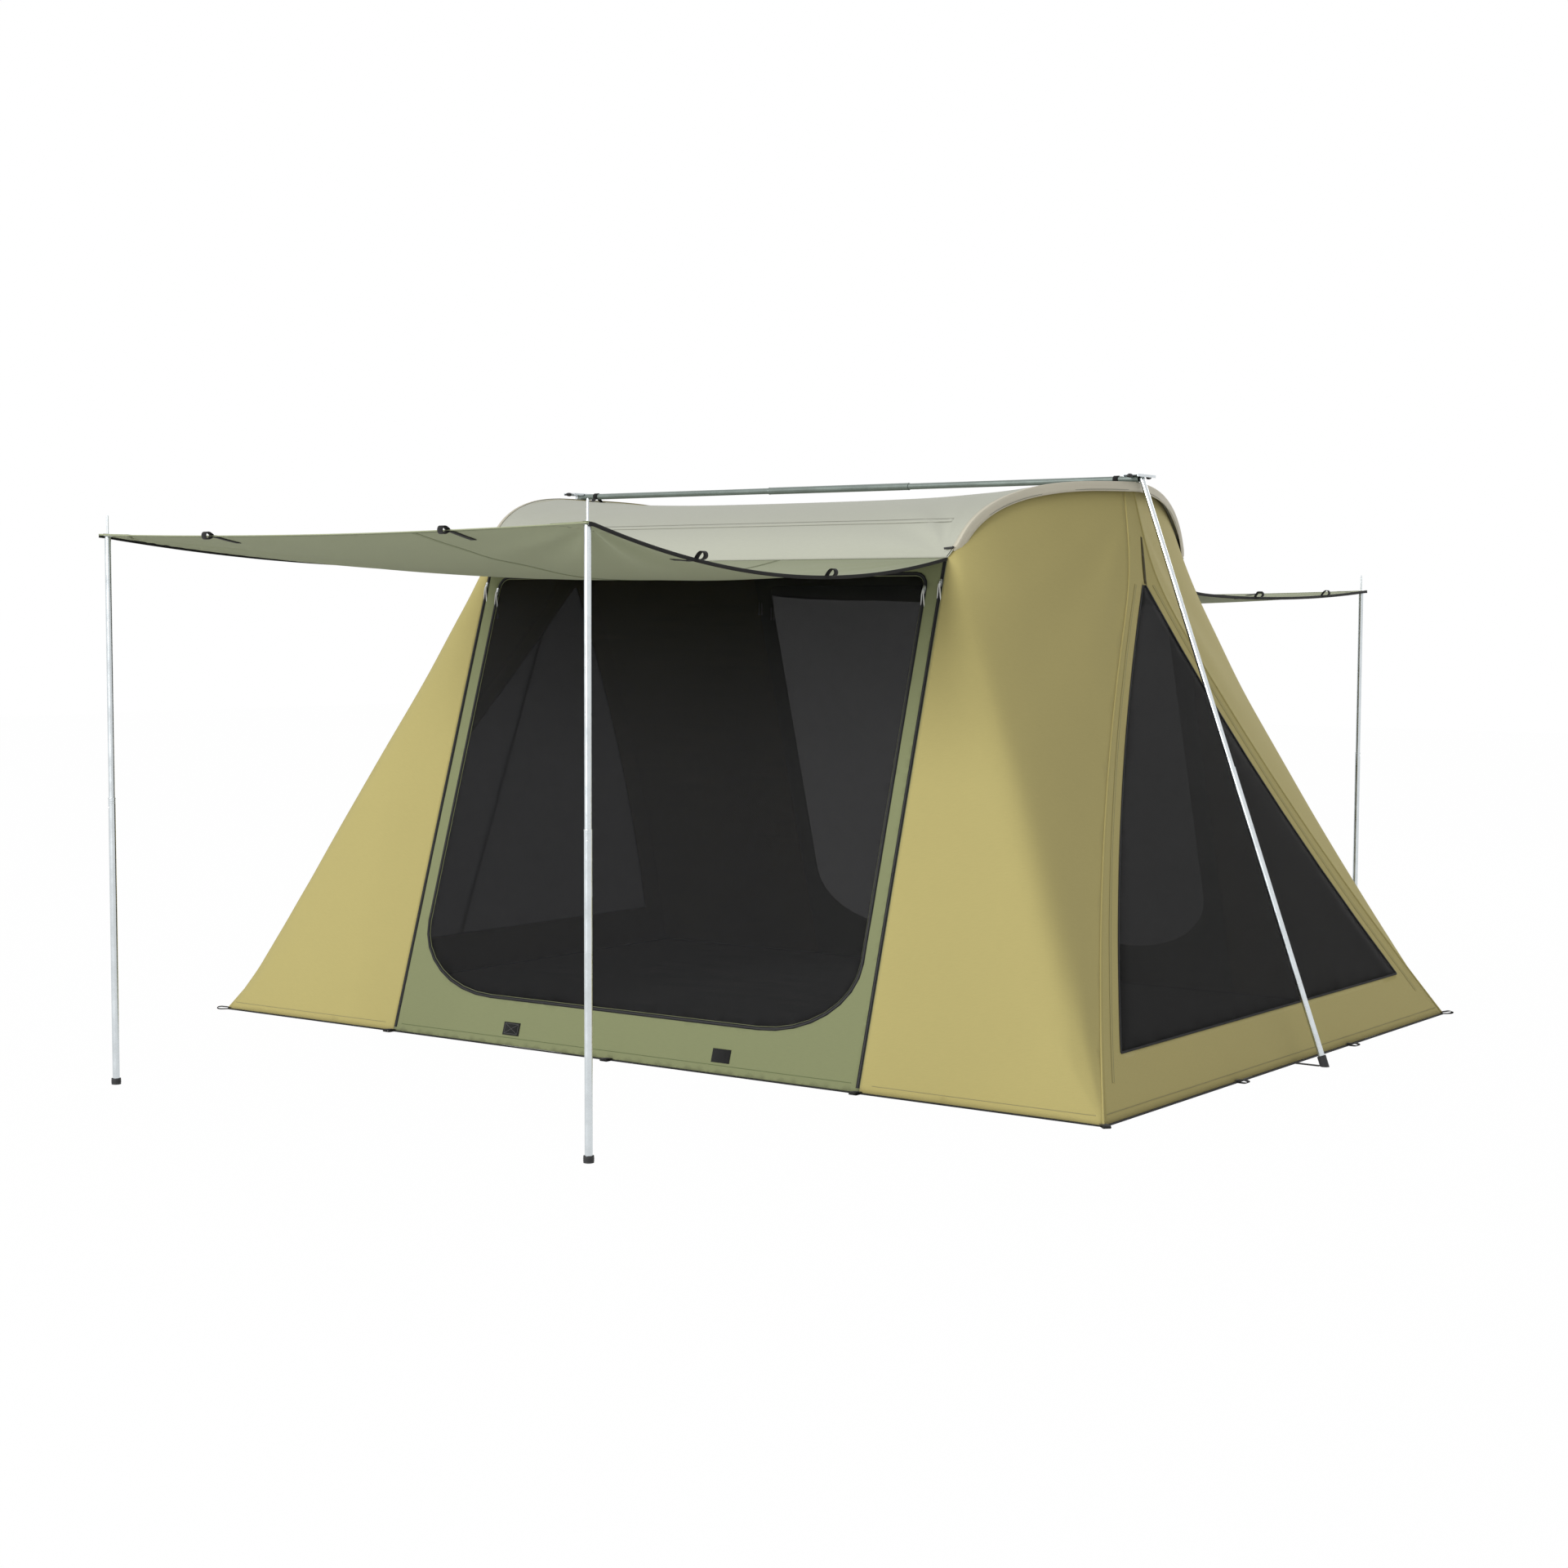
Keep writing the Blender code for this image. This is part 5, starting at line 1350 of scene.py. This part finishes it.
def makePoleDetails(c):
    for depth, hand, title, sx, sy in quarters:
        body = f"{depth}_{hand}_pole_stand"
        low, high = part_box(f"{depth}_{hand}_pole_lower")
        middle = (Vector(low) + Vector(high)) / 2
        top = at(middle.x, middle.y, c["joint"])
        makeCollar(c, top, -sky, title + "PoleCollar", body)
        aim = at(c["buttonAside"] * sx, sy).normalized()
        place = top - at(z=c["buttonDown"]) + aim * c["collar"]
        joined(lathe, [(c["dome"], place, aim, 20)], title + "PoleButton", "zincPlate", body)
        for level in c["ribs"]:
            foot = at(top.x, top.y, level)
            joined(lathe, [(c["rib"], foot, sky)], f"{title}FootRib{round(level * 1000)}", "blackPlastic", body)
    for hand, sx in hands:
        head = at(x=c["endHead"][0] * sx, z=c["endHead"][1])
        foot = at(x=c["endFoot"] * sx)
        joint = head + (foot - head) * c["endJoint"]
        makeCollar(c, joint, (foot - head).normalized(), f"{hand}EndPoleCollar", f"{hand}_end_pole")


makePoleDetails(poleSet)
print("pole details made")

# ridge details: rod plugs on the brackets, rivets, the strap on the bar, sleeve beads, rod hooks at the eaves
ridge = {"height": 2.2462, "bar": 0.0127, "sleeve": 0.015, "sleeveHalf": 0.36, "bracketX": 1.435,
         "plugY": 0.071, "plugUp": 0.0095, "rivetX": (-0.020, 0.020), "rivetUp": 0.0033,
         "plug": ((0.0, 0.026), (0.0035, 0.0255), (0.0055, 0.0225), (0.0062, 0.016), (0.0078, 0.015),
                  (0.0082, 0.009), (0.0082, 0.0), (0.0, -0.002)),
         "rivet": ((0.0, 0.0024), (0.0025, 0.0020), (0.0042, 0.0008), (0.0046, 0.0), (0.0046, -0.001)),
         "strapX": 1.335, "webbing": (0.022, 0.0016), "strapRound": 0.0141, "strapLift": 0.0012,
         "strapSide": 0.03, "strapTail": 0.02, "strapTurn": (-0.18, 1.36), "strapHeart": 0.03, "dropFrom": 2.6}
rodHook = {"heel": (0.003, 0.007, 0.010), "rise": (0.002, 0.004), "step": (-0.012, 0.0008, -0.001), "radius": 0.0042,
           "tieEnd": (1.139, 0.948, 1.924), "tieDrop": 0.002, "tieRadius": 0.0013}


def strapOverBar(c, sx):
    # from the roof up over the ridge bar and down to the roof again
    x = c["strapX"] * sx
    axis = at(x=x, z=c["height"])
    ends = {}
    for _, sy in sides:
        hit, _, _, _ = skins["roof"].ray_cast(at(x, c["strapSide"] * sy, c["dropFrom"]), -sky)
        ends[sy] = hit + at(z=c["strapLift"])
    first, sweepBy = c["strapTurn"]
    turns = [math.pi * (first + sweepBy * k / 20) for k in range(21)]
    arc = [axis + at(y=math.cos(t) * c["strapRound"], z=math.sin(t) * c["strapRound"]) for t in turns]
    tail = at(y=c["strapTail"])
    path = [ends[1] + tail, ends[1]] + arc + [ends[-1], ends[-1] - tail]
    return path, [(p - axis + at(z=c["strapHeart"])).normalized() for p in path], *c["webbing"]


def makeRodHook(c, title, sx, sy):
    # a hook over the eave and the tie that holds it
    start = next(p for p in (roofEdges[sx][0], roofEdges[sx][-1]) if p.y * sy > 0)
    heel = start + at(c["heel"][0] * sx, c["heel"][1] * sy, c["heel"][2])
    step = at(c["step"][0] * sx, c["step"][1] * sy, c["step"][2])
    line = [heel + at(x=c["rise"][0] * sx, z=c["rise"][1])] + [heel + step * k for k in range(4)]
    joined(tube, [(line, c["radius"], 10)], title + "RodHook", "blackPlastic")
    endX, endY, endZ = c["tieEnd"]
    tie = between(heel - at(z=c["tieDrop"]), (endX * sx, endY * sy, endZ), 8)
    joined(tube, [(tie, c["tieRadius"], 8)], title + "HookTie", "blackTape")


def makeRidgeDetails(c, hook):
    bead = ((c["sleeve"] - 0.0004, -0.003), (c["sleeve"] + 0.0008, -0.0016), (c["sleeve"] + 0.0006, 0.0),
            (c["bar"] + 0.0005, 0.0006))
    for hand, sx in hands:
        plugs = [(c["plug"], at(c["bracketX"] * sx, c["plugY"] * sy, c["height"] + c["plugUp"]), (0, sy, 0), 20)
                 for _, sy in sides]
        joined(lathe, plugs, f"{hand}RodPlugs", "blackPlastic")
        level = c["height"] + c["bar"] + c["rivetUp"]
        rivets = [(c["rivet"], at(x=c["bracketX"] * sx + x, z=level), sky, 20) for x in c["rivetX"]]
        joined(lathe, rivets, f"{hand}BracketRivets", "zincPlate")
        joined(strap, [strapOverBar(c, sx)], f"{hand}RidgeStrap", "blackTape")
        place = at(x=c["sleeveHalf"] * sx, z=c["height"])
        joined(lathe, [(bead, place, (sx, 0, 0))], f"{hand}SleeveBead", "ridgePaint")
        for depth, sy in sides:
            makeRodHook(hook, f"{depth}{hand.title()}", sx, sy)


makeRidgeDetails(ridge, rodHook)
print("ridge details made")

# what is left of the CAD nodes gets its finish
plainSlots = {"steel_tube": "steelTube", "ridge_tube": "ridgePaint", "black_webbing": "blackTape",
              "zip_tape": "blackTape", "black_plastic": "blackPlastic", "white_cord": "whiteCord",
              "bow_rod": "blackPlastic", "groundsheet": "floorCloth"}
slotByNode = {s["node"]: s["material_slot"] for s in frame["record"]["subparts"]}
for name, item in cad.items():
    if not item.hide_render:
        item.data.materials.clear()
        item.data.materials.append(paints[plainSlots[slotByNode[name]]])
